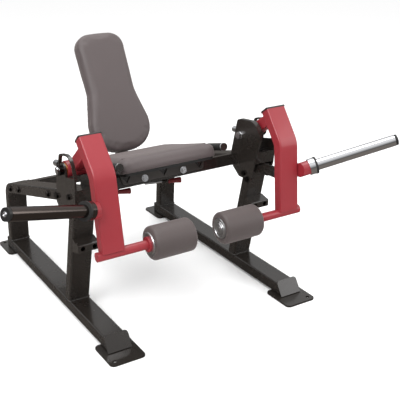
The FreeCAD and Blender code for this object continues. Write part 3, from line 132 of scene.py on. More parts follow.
print("white is", linear("#ffffff"))

# %% [markdown]
# ## Powder coat on the frame and the arms
#
# Powder coat is a dry paint that is sprayed on and baked. It flows into a thick glossy skin with a faint
# orange-peel ripple a few millimetres across, and it dulls in patches where hands and shoes rub it. The
# ripple is a bump and the patches change only the roughness, so the paint still looks like one colour. The
# seat's support plate has a duller coat than the frame, as a satin powder gives, and a paler colour that is
# painted light: it stands in for the bright floor that the plate reflects.


# %% Powder coat
TONE_DRIFT, WEAR_DRIFT = 0.15, 0.06      # in metres: how wide the patches of tone and of wear are


def powder_coat(name, dark, light, roughness, ripple_mm, coat):
    """Two tones drift over 150 mm, the roughness drifts over 60 mm, and the bump is the orange peel."""
    material, tree, output, place = start_material(name)
    drift = add(tree, "ShaderNodeTexNoise", {"Vector": place, "Scale": 1 / TONE_DRIFT, "Detail": 3.0})
    tone = add(tree, "ShaderNodeMixRGB", {"Fac": drift.outputs["Fac"], "Color1": linear(dark),
                                          "Color2": linear(light)})
    wear = add(tree, "ShaderNodeTexNoise", {"Vector": place, "Scale": 1 / WEAR_DRIFT, "Detail": 4.0})
    dull = add(tree, "ShaderNodeMapRange", {"Value": wear.outputs["Fac"], "From Min": 0.3, "From Max": 0.75,
                                            "To Min": roughness, "To Max": roughness + 0.05})
    peel = add(tree, "ShaderNodeTexNoise", {"Vector": place, "Scale": 1 / (ripple_mm * MM), "Detail": 1.0})
    bump = add(tree, "ShaderNodeBump", {"Height": peel.outputs["Fac"], "Strength": 0.03, "Distance": 0.0003})
    shader = add(tree, "ShaderNodeBsdfPrincipled", {
        "Base Color": tone.outputs["Color"], "Roughness": dull.outputs["Result"],
        "Normal": bump.outputs["Normal"], "Coat Weight": coat, "Coat Roughness": 0.08, "IOR": 1.5})
    finish_material(tree, output, shader)
    return material


frame_coat = powder_coat("black_powder_coat", "#211d1a", "#24201d", 0.24, 3.5, 0.45)
arm_coat = powder_coat("red_powder_coat", "#86222a", "#8c262e", 0.36, 3.0, 0.25)
# Paler than the frame: painted light for the bright floor that the support plate reflects.
satin_coat_with_painted_light = powder_coat("satin_black_coat_painted_light", "#332e2b", "#38332f", 0.42, 3.0, 0.1)
print("paints:", frame_coat.name, arm_coat.name, satin_coat_with_painted_light.name)

# %% [markdown]
# ## Bright plating
#
# The right weight sleeve, the pivot shafts, the pins and the pull rods are chrome plated. Chrome is a mirror
# with a slightly cool grey tint. Fine polishing scratches blur it a little, so a noise of a few millimetres
# breaks up the roughness. The rollers' ends are satin chrome, which is brushed and shows no clear
# reflections. The left weight sleeve is the same chrome as the right one, but it gets a darker, browner colour
# that is painted shade for the dark surroundings that it reflects. The pivots' bushes are sintered bronze,
# whose open pores make it duller.
#
# The bolts are one node and so are the ring nuts, but in each the pieces near the middle are bright and the
# outer ones dark. The outer ring nuts are blackened steel, but the outer bolts are chrome like the inner
# ones, and their dark colour is painted shade for the dark surroundings they reflect. One material does both:
# it splits the colour at a distance from the machine's middle plane where there is no bolt or nut, so no
# piece shows the line.


# %% Chrome and bronze
def bright_metal(name, tint, low, high, grain_mm):
    """A metal whose roughness runs between low and high along a fine noise with the given grain."""
    material, tree, output, place = start_material(name)
    grain = add(tree, "ShaderNodeTexNoise", {"Vector": place, "Scale": 1 / (grain_mm * MM), "Detail": 5.0})
    polish = add(tree, "ShaderNodeMapRange", {"Value": grain.outputs["Fac"], "From Min": 0.3, "From Max": 0.7,
                                              "To Min": low, "To Max": high})
    shader = add(tree, "ShaderNodeBsdfPrincipled", {
        "Base Color": linear(tint), "Metallic": 1.0, "Roughness": polish.outputs["Result"]})
    finish_material(tree, output, shader)
    return material


chrome = bright_metal("polished_chrome", "#e6e7ea", 0.06, 0.16, 4)
bronze = bright_metal("sintered_bronze", "#b48a52", 0.30, 0.45, 2)
satin = bright_metal("satin_chrome", "#e2e2e4", 0.26, 0.38, 2)
# A darker, browner copy of the chrome: painted shade for the dark surroundings that the left sleeve reflects.
shaded_chrome = bright_metal("chrome_with_painted_shade", "#5f5753", 0.16, 0.26, 4)
print("metals:", chrome.name, bronze.name, satin.name, shaded_chrome.name)


# %% Plating of the bolts and ring nuts
def split_plating(name, bright, dark, split_mm, grain_mm):
    """One metal in two colours: bright where |x| is under split_mm, and dark beyond it."""
    material, tree, output, place = start_material(name)
    split = add(tree, "ShaderNodeSeparateXYZ", {"Vector": place})
    across = add(tree, "ShaderNodeMath", {0: split.outputs["X"]}, operation="ABSOLUTE")
    outer = add(tree, "ShaderNodeMath", {0: across.outputs["Value"], 1: split_mm * MM},
                operation="GREATER_THAN")
    tint = add(tree, "ShaderNodeMixRGB", {"Fac": outer.outputs["Value"], "Color1": linear(bright),
                                          "Color2": linear(dark)})
    grain = add(tree, "ShaderNodeTexNoise", {"Vector": place, "Scale": 1 / (grain_mm * MM), "Detail": 4.0})
    polish = add(tree, "ShaderNodeMapRange", {"Value": grain.outputs["Fac"], "To Min": 0.16, "To Max": 0.32})
    shader = add(tree, "ShaderNodeBsdfPrincipled", {
        "Base Color": tint.outputs["Color"], "Metallic": 1.0, "Roughness": polish.outputs["Result"]})
    finish_material(tree, output, shader)
    return material


# The dark colour of the outer bolts is painted shade: they are chrome that reflects dark surroundings.
bolt_chrome_with_painted_shade = split_plating("bolt_chrome_with_painted_shade", "#e6e7ea", "#2b2827", 150, 3)
nut_plating = split_plating("pivot_nut_plating", "#e2e2e4", "#2e2b29", 440, 3)
print("platings:", bolt_chrome_with_painted_shade.name, nut_plating.name)

# %% [markdown]
# ## Vinyl, rubber and plastic
#
# The pads wear an upholstery vinyl: a soft satin skin embossed with a leather grain of cells about 1.6 mm
# across. Real grain is under a millimetre, which would vanish at this distance, so it is drawn a little
# coarser. A sheen gives the pale bloom that vinyl shows where it curves away.
#
# The handle grips, the rest buffers and the rings on the sleeves are moulded rubber, which is dull and nearly
# black. The end caps, the clamp knob and the covers of the boards are ABS, a little smoother, and the pull
# rods end in grips of dark red plastic.


# %% Upholstery vinyl
def vinyl(name, dark, light, grain_mm, roughness):
    """Cells from a Voronoi pattern make the embossing; a wide noise varies the tone over about 80 mm."""
    material, tree, output, place = start_material(name)
    cells = add(tree, "ShaderNodeTexVoronoi", {"Vector": place, "Scale": 1 / (grain_mm * MM)},
                feature="DISTANCE_TO_EDGE")
    edge = add(tree, "ShaderNodeMapRange", {"Value": cells.outputs["Distance"], "From Min": 0.0,
                                            "From Max": 0.25})
    wide = add(tree, "ShaderNodeTexNoise", {"Vector": place, "Scale": 1 / 0.08, "Detail": 4.0})
    tone = add(tree, "ShaderNodeMixRGB", {"Fac": wide.outputs["Fac"], "Color1": linear(dark),
                                          "Color2": linear(light)})
    dull = add(tree, "ShaderNodeMapRange", {"Value": wide.outputs["Fac"], "From Min": 0.3, "From Max": 0.7,
                                            "To Min": roughness, "To Max": roughness + 0.1})
    bump = add(tree, "ShaderNodeBump", {"Height": edge.outputs["Result"], "Strength": 0.22,
                                        "Distance": 0.0003})
    shader = add(tree, "ShaderNodeBsdfPrincipled", {
        "Base Color": tone.outputs["Color"], "Roughness": dull.outputs["Result"],
        "Normal": bump.outputs["Normal"],
        "Sheen Weight": 0.25, "Sheen Roughness": 0.45, "Sheen Tint": linear("#dcd2cf")})
    finish_material(tree, output, shader)
    return material


pad_vinyl = vinyl("charcoal_vinyl", "#4a4141", "#4f4646", 1.6, 0.48)
roller_vinyl = vinyl("roller_vinyl", "#453c3b", "#4a4140", 1.4, 0.50)
print("vinyls:", pad_vinyl.name, roller_vinyl.name)


# %% Rubber and moulded plastic
def moulded(name, dark, light, roughness, grain_mm, depth=0.12):
    """Two close tones over 50 mm, and a fine spark-eroded grain that is the bump and varies the roughness."""
    material, tree, output, place = start_material(name)
    wide = add(tree, "ShaderNodeTexNoise", {"Vector": place, "Scale": 1 / 0.05, "Detail": 3.0})
    tone = add(tree, "ShaderNodeMixRGB", {"Fac": wide.outputs["Fac"], "Color1": linear(dark),
                                          "Color2": linear(light)})
    grain = add(tree, "ShaderNodeTexNoise", {"Vector": place, "Scale": 1 / (grain_mm * MM), "Detail": 3.0})
    dull = add(tree, "ShaderNodeMapRange", {"Value": grain.outputs["Fac"], "To Min": roughness - 0.05,
                                            "To Max": roughness + 0.05})
    bump = add(tree, "ShaderNodeBump", {"Height": grain.outputs["Fac"], "Strength": depth,
                                        "Distance": 0.0003})
    shader = add(tree, "ShaderNodeBsdfPrincipled", {
        "Base Color": tone.outputs["Color"], "Roughness": dull.outputs["Result"],
        "Normal": bump.outputs["Normal"]})
    finish_material(tree, output, shader)
    return material


rubber = moulded("black_rubber", "#1b1a1a", "#232221", 0.62, 1.2, 0.25)
plastic = moulded("black_abs", "#161616", "#1e1d1d", 0.38, 0.9)
red_grip = moulded("dark_red_grip", "#5d1418", "#6b1a1d", 0.36, 1.5)
print("mouldings:", rubber.name, plastic.name, red_grip.name)

# %% [markdown]
# ## Paint the CAD nodes
#
# Each CAD node keeps its own mesh. Only the material in its slot changes, chosen by the slot that the
# record already names for it. A few nodes have a finish of their own, which comes before their slot's: the
# boards, for one, are plywood inside, but a black plastic sheet is all that shows of them.

# %% Paint the CAD nodes
SLOT_FINISH = {"frame_paint": frame_coat, "arm_paint": arm_coat, "chrome": chrome, "rubber": rubber,
               "black_plastic": plastic, "bronze": bronze, "vinyl": pad_vinyl, "red_grip": red_grip}
NODE_FINISH = {"left_weight_sleeve": shaded_chrome, "seat_support": satin_coat_with_painted_light, "seat_board": plastic,
               "back_board": plastic, "frame_bolts": bolt_chrome_with_painted_shade, "pivot_nuts": nut_plating,
               "left_roller_core": satin, "right_roller_core": satin}
for part in frame["record"]["subparts"]:
    cad = nodes[part["node"]]
    cad.data.materials.clear()
    cad.data.materials.append(NODE_FINISH.get(part["node"]) or SLOT_FINISH[part["material_slot"]])

# %% [markdown]
# ## Surfaces from grids
#
# Every new surface is a grid of points worked out with numpy. One helper joins the grid into quads and
# closes it round; a turned piece and a swept bead are then only different ways to fill the grid.


# %% Surface helpers
def grid_faces(rows, columns):
    """Quads between neighbouring rows and columns of a grid whose last column joins its first."""
    row, column = np.meshgrid(np.arange(rows - 1), np.arange(columns), indexing="ij")
    after = (column + 1) % columns
    quads = np.stack([row * columns + column, row * columns + after,
                      (row + 1) * columns + after, (row + 1) * columns + column], -1)
    return quads.reshape(-1, 4)


def make_piece(name, points, faces, material, body, smooth_angle=40):
    """A mesh piece with merged poles and seams, outward faces, smooth shading, and a body to ride on."""
    mesh = bpy.data.meshes.new(name)
    mesh.from_pydata(np.asarray(points, float).reshape(-1, 3), [], faces.tolist())
    work = bmesh.new()
    work.from_mesh(mesh)
    bmesh.ops.remove_doubles(work, verts=work.verts, dist=1e-6)
    bmesh.ops.dissolve_degenerate(work, edges=work.edges, dist=1e-7)
    bmesh.ops.recalc_face_normals(work, faces=work.faces)
    work.to_mesh(mesh)
    work.free()
    mesh.materials.append(material)
    piece = bpy.data.objects.new(name, mesh)
    bpy.context.scene.collection.objects.link(piece)
    mesh.shade_smooth()
    mesh.set_sharp_from_angle(angle=math.radians(smooth_angle))
    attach(piece, body)
    return piece


def frame_of(direction):
    """Two unit vectors square to a direction, and the direction itself made unit length."""
    axis = np.asarray(direction, float)
    axis = axis / np.linalg.norm(axis)
    helper = np.array([0.0, 0.0, 1.0]) if abs(axis[2]) < 0.9 else np.array([1.0, 0.0, 0.0])
    side = np.cross(axis, helper)
    side /= np.linalg.norm(side)
    return side, np.cross(axis, side), axis


def turned(start, direction, profile, segments):
    """A turned surface: each (radius, distance) of the profile, in mm, sweeps a circle about the axis.

    point = start + distance * axis + radius * (cos a * side + sin a * other), for a from 0 to a full turn.
    """
    side, other, axis = frame_of(direction)
    profile = np.asarray(profile, float) * MM
    angle = np.linspace(0, 2 * np.pi, segments, endpoint=False)
    ring = np.cos(angle)[:, None] * side + np.sin(angle)[:, None] * other
    radius = profile[:, 0][:, None, None]
    points = np.asarray(start) + profile[:, 1][:, None, None] * axis + radius * ring[None]
    return points.reshape(-1, 3), grid_faces(len(profile), segments)


def rounded(profile, radius, steps=5):
    """The open profile with each inner corner cut by a curve, (1-t)^2 a + 2 t (1-t) corner + t^2 b.

    a and b lie on the corner's two sides, a radius away from it or at 0.45 of the side where that is less.
    """
    corners = np.asarray(profile, float)
    out = [corners[:1]]
    t = np.linspace(0, 1, steps)[:, None]
    for before, corner, after in zip(corners[:-2], corners[1:-1], corners[2:]):
        into, away = before - corner, after - corner
        reach = min(radius, np.linalg.norm(into) * 0.45, np.linalg.norm(away) * 0.45)
        a = corner + into / max(np.linalg.norm(into), 1e-9) * reach
        b = corner + away / max(np.linalg.norm(away), 1e-9) * reach
        out.append((1 - t) ** 2 * a + 2 * t * (1 - t) * corner + t ** 2 * b)
    out.append(corners[-1:])
    return np.concatenate(out)


def bead(path, radius_mm, closed=True, sides=10):
    """A round cord along a path: at each point a circle in the plane square to the path's direction there."""
    path = np.asarray(path, float)
    if closed:
        along = np.roll(path, -1, 0) - np.roll(path, 1, 0)
    else:
        along = np.gradient(path, axis=0)
    along /= np.linalg.norm(along, axis=1)[:, None]
    reference = np.array([0.123, 0.456, 0.881])      # no path here runs along this direction
    side = np.cross(along, reference)
    side /= np.linalg.norm(side, axis=1)[:, None]
    other = np.cross(along, side)
    angle = np.linspace(0, 2 * np.pi, sides, endpoint=False)
    points = (path[:, None] + radius_mm * MM * (np.cos(angle)[None, :, None] * side[:, None]
                                                 + np.sin(angle)[None, :, None] * other[:, None]))
    if closed:
        points = np.concatenate([points, points[:1]])
        return points.reshape(-1, 3), grid_faces(len(path) + 1, sides)
    ends = [np.repeat(path[:1][:, None], sides, 1), points, np.repeat(path[-1:][:, None], sides, 1)]
    points = np.concatenate(ends)
    return points.reshape(-1, 3), grid_faces(len(path) + 2, sides)


print("surface helpers ready")

# %% [markdown]
# ## The sloping seat frame
#
# The seat, its handles and its crossbeams all lie on a slope parallel to the side rails. A small function
# turns slope coordinates (across, back along the slope, square to the slope) into the machine's own.

# %% Slope and back rest axes
slide = np.array(joints["back_rest_slide"]["axis"], float)
PITCH = math.atan2(-slide[2], slide[1])
RAIL_TOP, RAIL_HALF = 579, 25            # the side rail's top above the origin, and half its depth, in mm
RAIL_MID = RAIL_TOP - RAIL_HALF / math.cos(PITCH)
BACK_Y, BACK_Z = 309, 582                # the foot of the back cushion's front face, in mm
LEAN = math.radians(28.7)


def on_slope(points):
    """(x, u, w) in mm to metres from the rail's middle line: y = u cos p + w sin p, z = w cos p - u sin p."""
    x, u, w = np.moveaxis(np.asarray(points, float), -1, 0)
    return np.stack([x, SHIFT + u * math.cos(PITCH) + w * math.sin(PITCH),
                     RAIL_MID - u * math.sin(PITCH) + w * math.cos(PITCH)], -1) * MM


def on_back(points):
    """(x, d, s) in mm to metres: s runs up along the back rest and d runs backwards from its front face."""
    x, d, s = np.moveaxis(np.asarray(points, float), -1, 0)
    return np.stack([x, SHIFT + BACK_Y + s * math.sin(LEAN) + d * math.cos(LEAN),
                     BACK_Z + s * math.cos(LEAN) - d * math.sin(LEAN)], -1) * MM


print("slope", round(math.degrees(PITCH), 2), "degrees")

# %% [markdown]
# ## Cushions
#
# A gym cushion is a plywood board with dense foam on it, wrapped in stretched vinyl. Its outline has a true
# arc at each corner, and points spaced evenly along it, so that the rings built from it stay even too. The
# body goes in rings from the underside, round the edge and over the crowned top. A short cloth simulation
# then inflates it, so the faces swell and the sides pull in as stretched vinyl does. The step is capped at
# a few millimetres, and a light smoothing takes out what ripple the cloth leaves.


# %% Cushion surface
ARC_POINTS = 25


def soft_outline(corners, radii, count=240):
    """A closed outline with an arc at each corner, as points evenly spaced round it.

    An arc of radius r in a corner whose sides meet at the angle 2 h starts r / tan h from the corner, and its
    centre is r / sin h along the line that halves the corner.
    """
    corners = np.asarray(corners, float)
    path = []
    for number, (corner, radius) in enumerate(zip(corners, radii)):
        back = corners[number - 1] - corner
        ahead = corners[(number + 1) % len(corners)] - corner
        back, ahead = back / np.linalg.norm(back), ahead / np.linalg.norm(ahead)
        half = 0.5 * math.acos(np.clip(back @ ahead, -1, 1))
        centre = corner + (back + ahead) / np.linalg.norm(back + ahead) * radius / math.sin(half)
        first = corner + back * radius / math.tan(half) - centre
        last = corner + ahead * radius / math.tan(half) - centre
        sweep = math.pi - 2 * half
        for share in np.linspace(0, 1, ARC_POINTS):
            path.append(centre + (first * math.sin((1 - share) * sweep)
                                  + last * math.sin(share * sweep)) / math.sin(sweep))
    closed = np.array(path + path[:1])
    reach = np.concatenate([[0], np.cumsum(np.linalg.norm(np.diff(closed, axis=0), axis=1))])
    walk = np.linspace(0, reach[-1], count, endpoint=False)
    return np.stack([np.interp(walk, reach, closed[:, i]) for i in (0, 1)], -1)


def cushion_surface(outline, thick, edge, under, crown, lip, rim, rings=14):
    """Rings of an outline, from the middle of the underside to the middle of the top.

    The underside is a tray: the board fills it, lip deep, and a rim of vinyl wraps round the board's edge.
    Round the top edge, a ring is the outline moved in by edge * (1 - cos a) while its height follows sin a.
    Over the top, rings shrink to the middle and rise by crown * (1 - r squared).
    """
    outline = np.asarray(outline, float)
    ahead = np.roll(outline, -1, 0) - np.roll(outline, 1, 0)
    normal = np.stack([ahead[:, 1], -ahead[:, 0]], -1)
    normal /= np.linalg.norm(normal, axis=1)[:, None]
    middle = outline.mean(0)
    normal *= np.sign(((outline - middle) * normal).sum())
    levels, planes = [], []
    tray = outline - normal * rim
    for share in np.linspace(0, 1, 7):
        planes.append(middle + (tray - middle) * share)
        levels.append(np.full(len(outline), float(lip)))
    for share in (0.6, 0.25):
        planes.append(tray)
        levels.append(np.full(len(outline), lip * share))
    for a in np.linspace(-math.pi / 2, 0, 5):
        planes.append(outline - normal * under * (1 - math.cos(a)))
        levels.append(np.full(len(outline), under * (1 + math.sin(a))))
    for a in np.linspace(0, math.pi / 2, 11):
        planes.append(outline - normal * edge * (1 - math.cos(a)))
        levels.append(np.full(len(outline), thick - edge + edge * math.sin(a)))
    top = planes[-1]
    for share in np.linspace(1, 0, rings)[1:]:
        planes.append(middle + (top - middle) * share)
        levels.append(np.full(len(outline), thick + crown * (1 - share ** 2)))
    return np.concatenate([np.stack(planes), np.stack(levels)[..., None]], -1)


print("cushion surface ready")


# %% Inflate a cushion
VOXEL, PRESSURE, MOST_SWELL, FRAMES = 6, 1.6, 3.5, 20      # mm, cloth pressure, mm, frames
GLUE_MARGIN = 2      # the vinyl is held fast this far past its rim, in mm


def swell(piece, fixed):
    """Remeshes a cushion evenly, inflates it as cloth, limits how far each point moves, and smooths it.

    Each point moves by its step in the cloth, shortened to MOST_SWELL where it is longer.
    """
    scene = bpy.context.scene
    remesh = piece.modifiers.new("even", "REMESH")
    remesh.mode, remesh.voxel_size = "VOXEL", VOXEL * MM
    bpy.context.view_layer.objects.active = piece
    with bpy.context.temp_override(object=piece, active_object=piece, selected_objects=[piece]):
        bpy.ops.object.modifier_apply(modifier="even")
    count = len(piece.data.vertices)
    rest = np.empty(count * 3, np.float32)
    piece.data.vertices.foreach_get("co", rest)
    rest = rest.reshape(-1, 3)
    group = piece.vertex_groups.new(name="glued")
    group.add([int(i) for i in np.nonzero(fixed(rest))[0]], 1.0, "REPLACE")
    cloth = piece.modifiers.new("vinyl", "CLOTH")
    cloth.settings.quality = 5
    cloth.settings.mass = 0.4
    cloth.settings.tension_stiffness = cloth.settings.compression_stiffness = 25
    cloth.settings.bending_stiffness = 2.0
    cloth.settings.use_pressure = True
    cloth.settings.uniform_pressure_force = PRESSURE
    cloth.settings.effector_weights.gravity = 0
    cloth.settings.vertex_group_mass = "glued"
    cloth.point_cache.frame_start, cloth.point_cache.frame_end = 1, FRAMES
    for number in range(1, FRAMES + 1):
        scene.frame_set(number)
    settled = piece.evaluated_get(bpy.context.evaluated_depsgraph_get())
    moved = np.empty(count * 3, np.float32)
    settled.data.vertices.foreach_get("co", moved)
    step = moved.reshape(-1, 3) - rest
    size = np.linalg.norm(step, axis=1)[:, None]
    rest = rest + step * np.minimum(1, MOST_SWELL * MM / np.maximum(size, 1e-9))
    piece.modifiers.remove(cloth)
    scene.frame_set(1)
    piece.data.vertices.foreach_set("co", rest.astype(np.float32).ravel())
    piece.data.update()
    piece.data.shade_smooth()
    relax = piece.modifiers.new("relax", "SMOOTH")
    relax.factor, relax.iterations = 0.5, 8
    fine = piece.modifiers.new("smooth", "SUBSURF")
    fine.levels = fine.render_levels = 1
    print(piece.name, "inflated:", count, "points, furthest", round(float(size.max()) / MM, 1), "mm")


print("inflation ready")

# %% [markdown]
# ## Seat cushion
#
# The seat is wider in front, with a rounded waterfall edge that doesn't press on the thighs: the top drops
# by 6 mm there, as the square of the way to the edge. Underneath, the vinyl wraps round the edge of the
# board, where the real cover is stapled, so the underside is a shallow tray that the board fills.

# %% Seat cushion
SEAT_LOW, SEAT_LIP, SEAT_TOP = 39, 6, 103      # heights above the rail's middle line, and the rim's, in mm
SEAT_FRONT, SEAT_REAR = -116, 314
SEAT_WIDE, SEAT_NARROW = 235, 218              # half widths in front and behind
RIM, SWELL_ROOM = 12.6, 2                      # the vinyl's rim round a board, and what the swelling fills
FALL_START, FALL_DROP = -40, 6                 # where the waterfall edge starts, and its drop
FADE_START, FADE_LENGTH = 20, 40               # the drop grows over this height from the underside
seat_corners = [(-SEAT_WIDE, SEAT_FRONT), (SEAT_WIDE, SEAT_FRONT), (SEAT_NARROW, SEAT_REAR),
                (-SEAT_NARROW, SEAT_REAR)]
seat_line = soft_outline(seat_corners, [34] * 4)
seat_rings = cushion_surface(seat_line, SEAT_TOP - SEAT_LOW - SWELL_ROOM, edge=24, under=6, crown=3.0,
                             lip=SEAT_LIP, rim=RIM)
fall = np.clip((FALL_START - seat_rings[..., 1]) / (FALL_START - SEAT_FRONT), 0, 1) ** 2
seat_rings[..., 2] -= fall * FALL_DROP * np.clip((seat_rings[..., 2] - FADE_START) / FADE_LENGTH, 0, 1)
seat_rings[..., 2] += SEAT_LOW
seat_pad = make_piece("seat_pad", on_slope(seat_rings), grid_faces(len(seat_rings), len(seat_line)),
                      pad_vinyl, "frame", 80)
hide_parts("seat_cushion")


def slope_height(points):
    """Height above the slope's middle line, in mm, of points in metres."""
    y, z = points[:, 1] / MM - SHIFT, points[:, 2] / MM - RAIL_MID
    return y * math.sin(PITCH) + z * math.cos(PITCH)


swell(seat_pad, lambda points: slope_height(points) < SEAT_LOW + SEAT_LIP + GLUE_MARGIN)
print("seat pad:", [round(v, 3) for v in seat_pad.dimensions])

# %% [markdown]
# ## Back cushion
#
# The back pad is bell shaped: broad at the hips, narrow between the shoulders, with a big radius at every
# corner. It has no seam on its face, so the swell of the foam is all that shapes it.

# %% Back cushion
BACK_DEEP, BACK_LIP = 66.5, 15                  # from the front face to the vinyl's rim behind, and the rim's
back_half = [(153, 1), (153, 146), (119, 291), (123, 580)]      # hips, ribs, waist and top, from below
back_corners = [(-153, 1)] + back_half + [(-x, s) for x, s in back_half[:0:-1]]
back_line = soft_outline(back_corners, [124, 124, 120, 120, 70, 70, 120, 120])
back_rings = cushion_surface(back_line, BACK_DEEP - SWELL_ROOM, edge=20, under=5, crown=1.5, lip=BACK_LIP,
                             rim=RIM)
back_points = np.stack([back_rings[..., 0], BACK_DEEP - back_rings[..., 2], back_rings[..., 1]], -1)
back_pad = make_piece("back_pad", on_back(back_points), grid_faces(len(back_rings), len(back_line)),
                      pad_vinyl, "back_rest", 80)
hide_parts("back_cushion")


def back_depth(points):
    """Depth behind the back rest's front face, in mm, of points in metres."""
    y, z = points[:, 1] / MM - SHIFT - BACK_Y, points[:, 2] / MM - BACK_Z
    return y * math.cos(LEAN) - z * math.sin(LEAN)


swell(back_pad, lambda points: back_depth(points) > BACK_DEEP - BACK_LIP - GLUE_MARGIN)
print("back pad:", [round(v, 3) for v in back_pad.dimensions])

# %% [markdown]
# ## Welts and weld beads
#
# A welt is a cord sewn into a seam: one runs across the seat near its front. The tubes are joined by fillet
# welds, which stand about 4 mm proud and ripple every few millimetres where the metal froze in steps.


# %% Welt and welds
WELT_HALF, WELT_Y, WELT_HEIGHT, WELT_RADIUS = 208, -64.0, 102.9, 1.8      # all in mm, on the slope
across = np.linspace(-WELT_HALF, WELT_HALF, 90)
welt_path = on_slope(np.stack([across, np.full_like(across, WELT_Y), np.full_like(across, WELT_HEIGHT)], -1))
welt_points, welt_faces = bead(welt_path, WELT_RADIUS, closed=False)
make_piece("seat_welt", welt_points, welt_faces, pad_vinyl, "frame", 60)


def weld(name, path, radius_mm, body, material):
    """A fillet weld: a bead whose points shuttle in and out by a fifth of its radius, every fourth point."""
    points, faces = bead(path, radius_mm)
    centre = np.concatenate([path, path[:1]])[:, None]
    ripple = 1 + 0.2 * np.sin(np.arange(len(centre)) * np.pi / 2)[:, None, None]
    points = centre + (points.reshape(len(centre), -1, 3) - centre) * ripple
    make_piece(name, points, faces, material, body, 60)


TUBE_INNER, TUBE_OUTER, BASE_TOP = 385, 480, 58.0      # a side frame's two faces, and its base beam's top
POST_FEET = {"front": (-15.0, 36.7), "rear": (724.0, 774.2)}      # where each post stands on the beam
WELD_RADIUS, WELD_CORNER = 3.5, 7
for side, sign in (("left", -1), ("right", 1)):
    inner, outer = sign * TUBE_INNER, sign * TUBE_OUTER
    for end, (front, rear) in POST_FEET.items():
        corners = [(inner, front), (outer, front), (outer, rear), (inner, rear)]
        ring = soft_outline(corners, [WELD_CORNER] * 4, 160)
        path = np.stack([ring[:, 0], ring[:, 1] + SHIFT, np.full(len(ring), BASE_TOP)], -1) * MM
        weld(f"{side}_{end}_post_weld", path, WELD_RADIUS, "frame", frame_coat)
print("welt and welds done")

# %% [markdown]
# ## Foam rollers
#
# Each roller is a foam sleeve pulled over a tube and skinned in vinyl. It is turned about its own axis:
# the profile is almost straight, with soft shoulders and a hollow at the inner end for the bright cap.

# %% Foam rollers
ROLLER_LENGTH = 187
# (radius, distance from the inner end), in mm: the hollow for the cap, the shoulder, the side and the bore
ROLLER_PROFILE = [(30.2, 10), (45.5, 9.5), (46.5, 1), (50, 0.2), (62, 0.6), (69.6, 9), (69.9, 50), (70, 93),
                  (69.9, 137), (69.6, 178), (62, 186.4), (46, 186.8), (30.2, 186.5)]
for side, sign in (("left", -1), ("right", 1)):
    middle = np.array(joints[side + "_roller_spin"]["pos_m"])
    inner = middle - np.array([sign, 0, 0]) * ROLLER_LENGTH / 2 * MM
    outline = rounded(ROLLER_PROFILE, 9, 6)
    outline = np.vstack([outline, outline[:1]])
    points, faces = turned(inner, (sign, 0, 0), outline, 96)
    roller = make_piece(side + "_roller_sleeve", points, faces, roller_vinyl, side + "_roller", 50)
    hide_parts(side + "_roller_foam")
print("rollers done")

# %% [markdown]
# ## Bright trims on the rollers
#
# A pressed metal cap closes each roller's inner end: a ring with a groove in it, round a low domed boss. A
# plain ring stands at the outer end. They are thin pressings on the plain disc that the CAD holds there, so
# each is a turned profile that starts just above that disc and rides on the roller.

# %% Bright trims on the rollers
# (radius, distance outwards from the roller's end), in mm
CAP_RING = [(27, 0.05), (44.4, 0.05), (44.4, 1.6), (41, 3.2), (38, 3.2), (36.6, 1.0), (33.6, 1.0),
            (32.2, 3.4), (28.5, 3.4), (27, 2.0)]
CAP_BOSS = [(0, 4.05), (25.5, 4.05), (24, 6.0), (19, 6.4), (17.5, 4.9), (14, 4.9), (12.5, 6.6), (0, 7.4)]
END_RING = [(42.1, 0.2), (48, 0.2), (48.6, 2.6), (46.5, 5.6), (43.5, 6.4), (42.1, 5.2)]
for side, sign in (("left", -1), ("right", 1)):
    middle = np.array(joints[side + "_roller_spin"]["pos_m"])
    half = np.array([sign, 0, 0]) * ROLLER_LENGTH / 2 * MM
    for name, start, outward, profile in (("cap_ring", middle - half, -sign, CAP_RING),
                                          ("cap_boss", middle - half, -sign, CAP_BOSS),
                                          ("end_ring", middle + half, sign, END_RING)):
        outline = rounded(profile, 0.7, 4)
        if profile[0][0] > 0:
            outline = np.vstack([outline, outline[:1]])
        points, faces = turned(start, (outward, 0, 0), outline, 72)
        make_piece(f"{side}_roller_{name}", points, faces, satin, side + "_roller", 35)
print("roller trims done")

# %% [markdown]
# ## Handle grips
#
# The handles beside the seat wear ribbed rubber grips. A grip is a turned part, so it is one profile: its
# shallow rings, 6 mm apart, are a sine on the radius. A bright turned disc closes each handle in front.

# %% Handle grips and their bright ends
HANDLE_X, HANDLE_RISE = 257, 77      # the bars' distance from the middle, and their height on the slope
GRIP_FRONT, CAP_FRONT = -131, -137   # where the rubber grip and the bright disc begin
RIB_RADIUS, RIB_DEPTH, RIB_PITCH = 16.6, 0.4, 6
toward = on_slope([0, 1, 0]) - on_slope([0, 0, 0])
steps = np.linspace(2, 123, 122)
ribs = RIB_RADIUS + RIB_DEPTH * np.sin(steps * 2 * np.pi / RIB_PITCH)
grip_profile = np.vstack([[(13.1, 0.2), (16.2, 0.2)], np.stack([ribs, steps], -1),
                          [(16.2, 124.8), (13.1, 124.8), (13.1, 0.2)]])
cap_profile = rounded([(0, 0.6), (6, 0.6), (7, 0), (14, 0), (17.4, 1.6), (17.4, 6.4), (13, 6.5)], 1.5)
for side, sign in (("left", -1), ("right", 1)):
    points, faces = turned(on_slope([sign * HANDLE_X, GRIP_FRONT, HANDLE_RISE]), toward, grip_profile, 48)
    grip = make_piece(side + "_handle_grip", points, faces, rubber, "frame", 60)
    if sign > 0:
        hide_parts("handle_grips")
    points, faces = turned(on_slope([sign * HANDLE_X, CAP_FRONT, HANDLE_RISE]), toward, cap_profile, 48)
    make_piece(side + "_handle_cap", points, faces, satin, "frame", 35)
print("handles done")

# %% [markdown]
# ## Screws in the weight sleeves
#
# A screw with a low domed head holds the cap on the end of each weight sleeve. The sleeve's place and
# direction come from its mount in the record, whose point is the middle of the free length for plates.

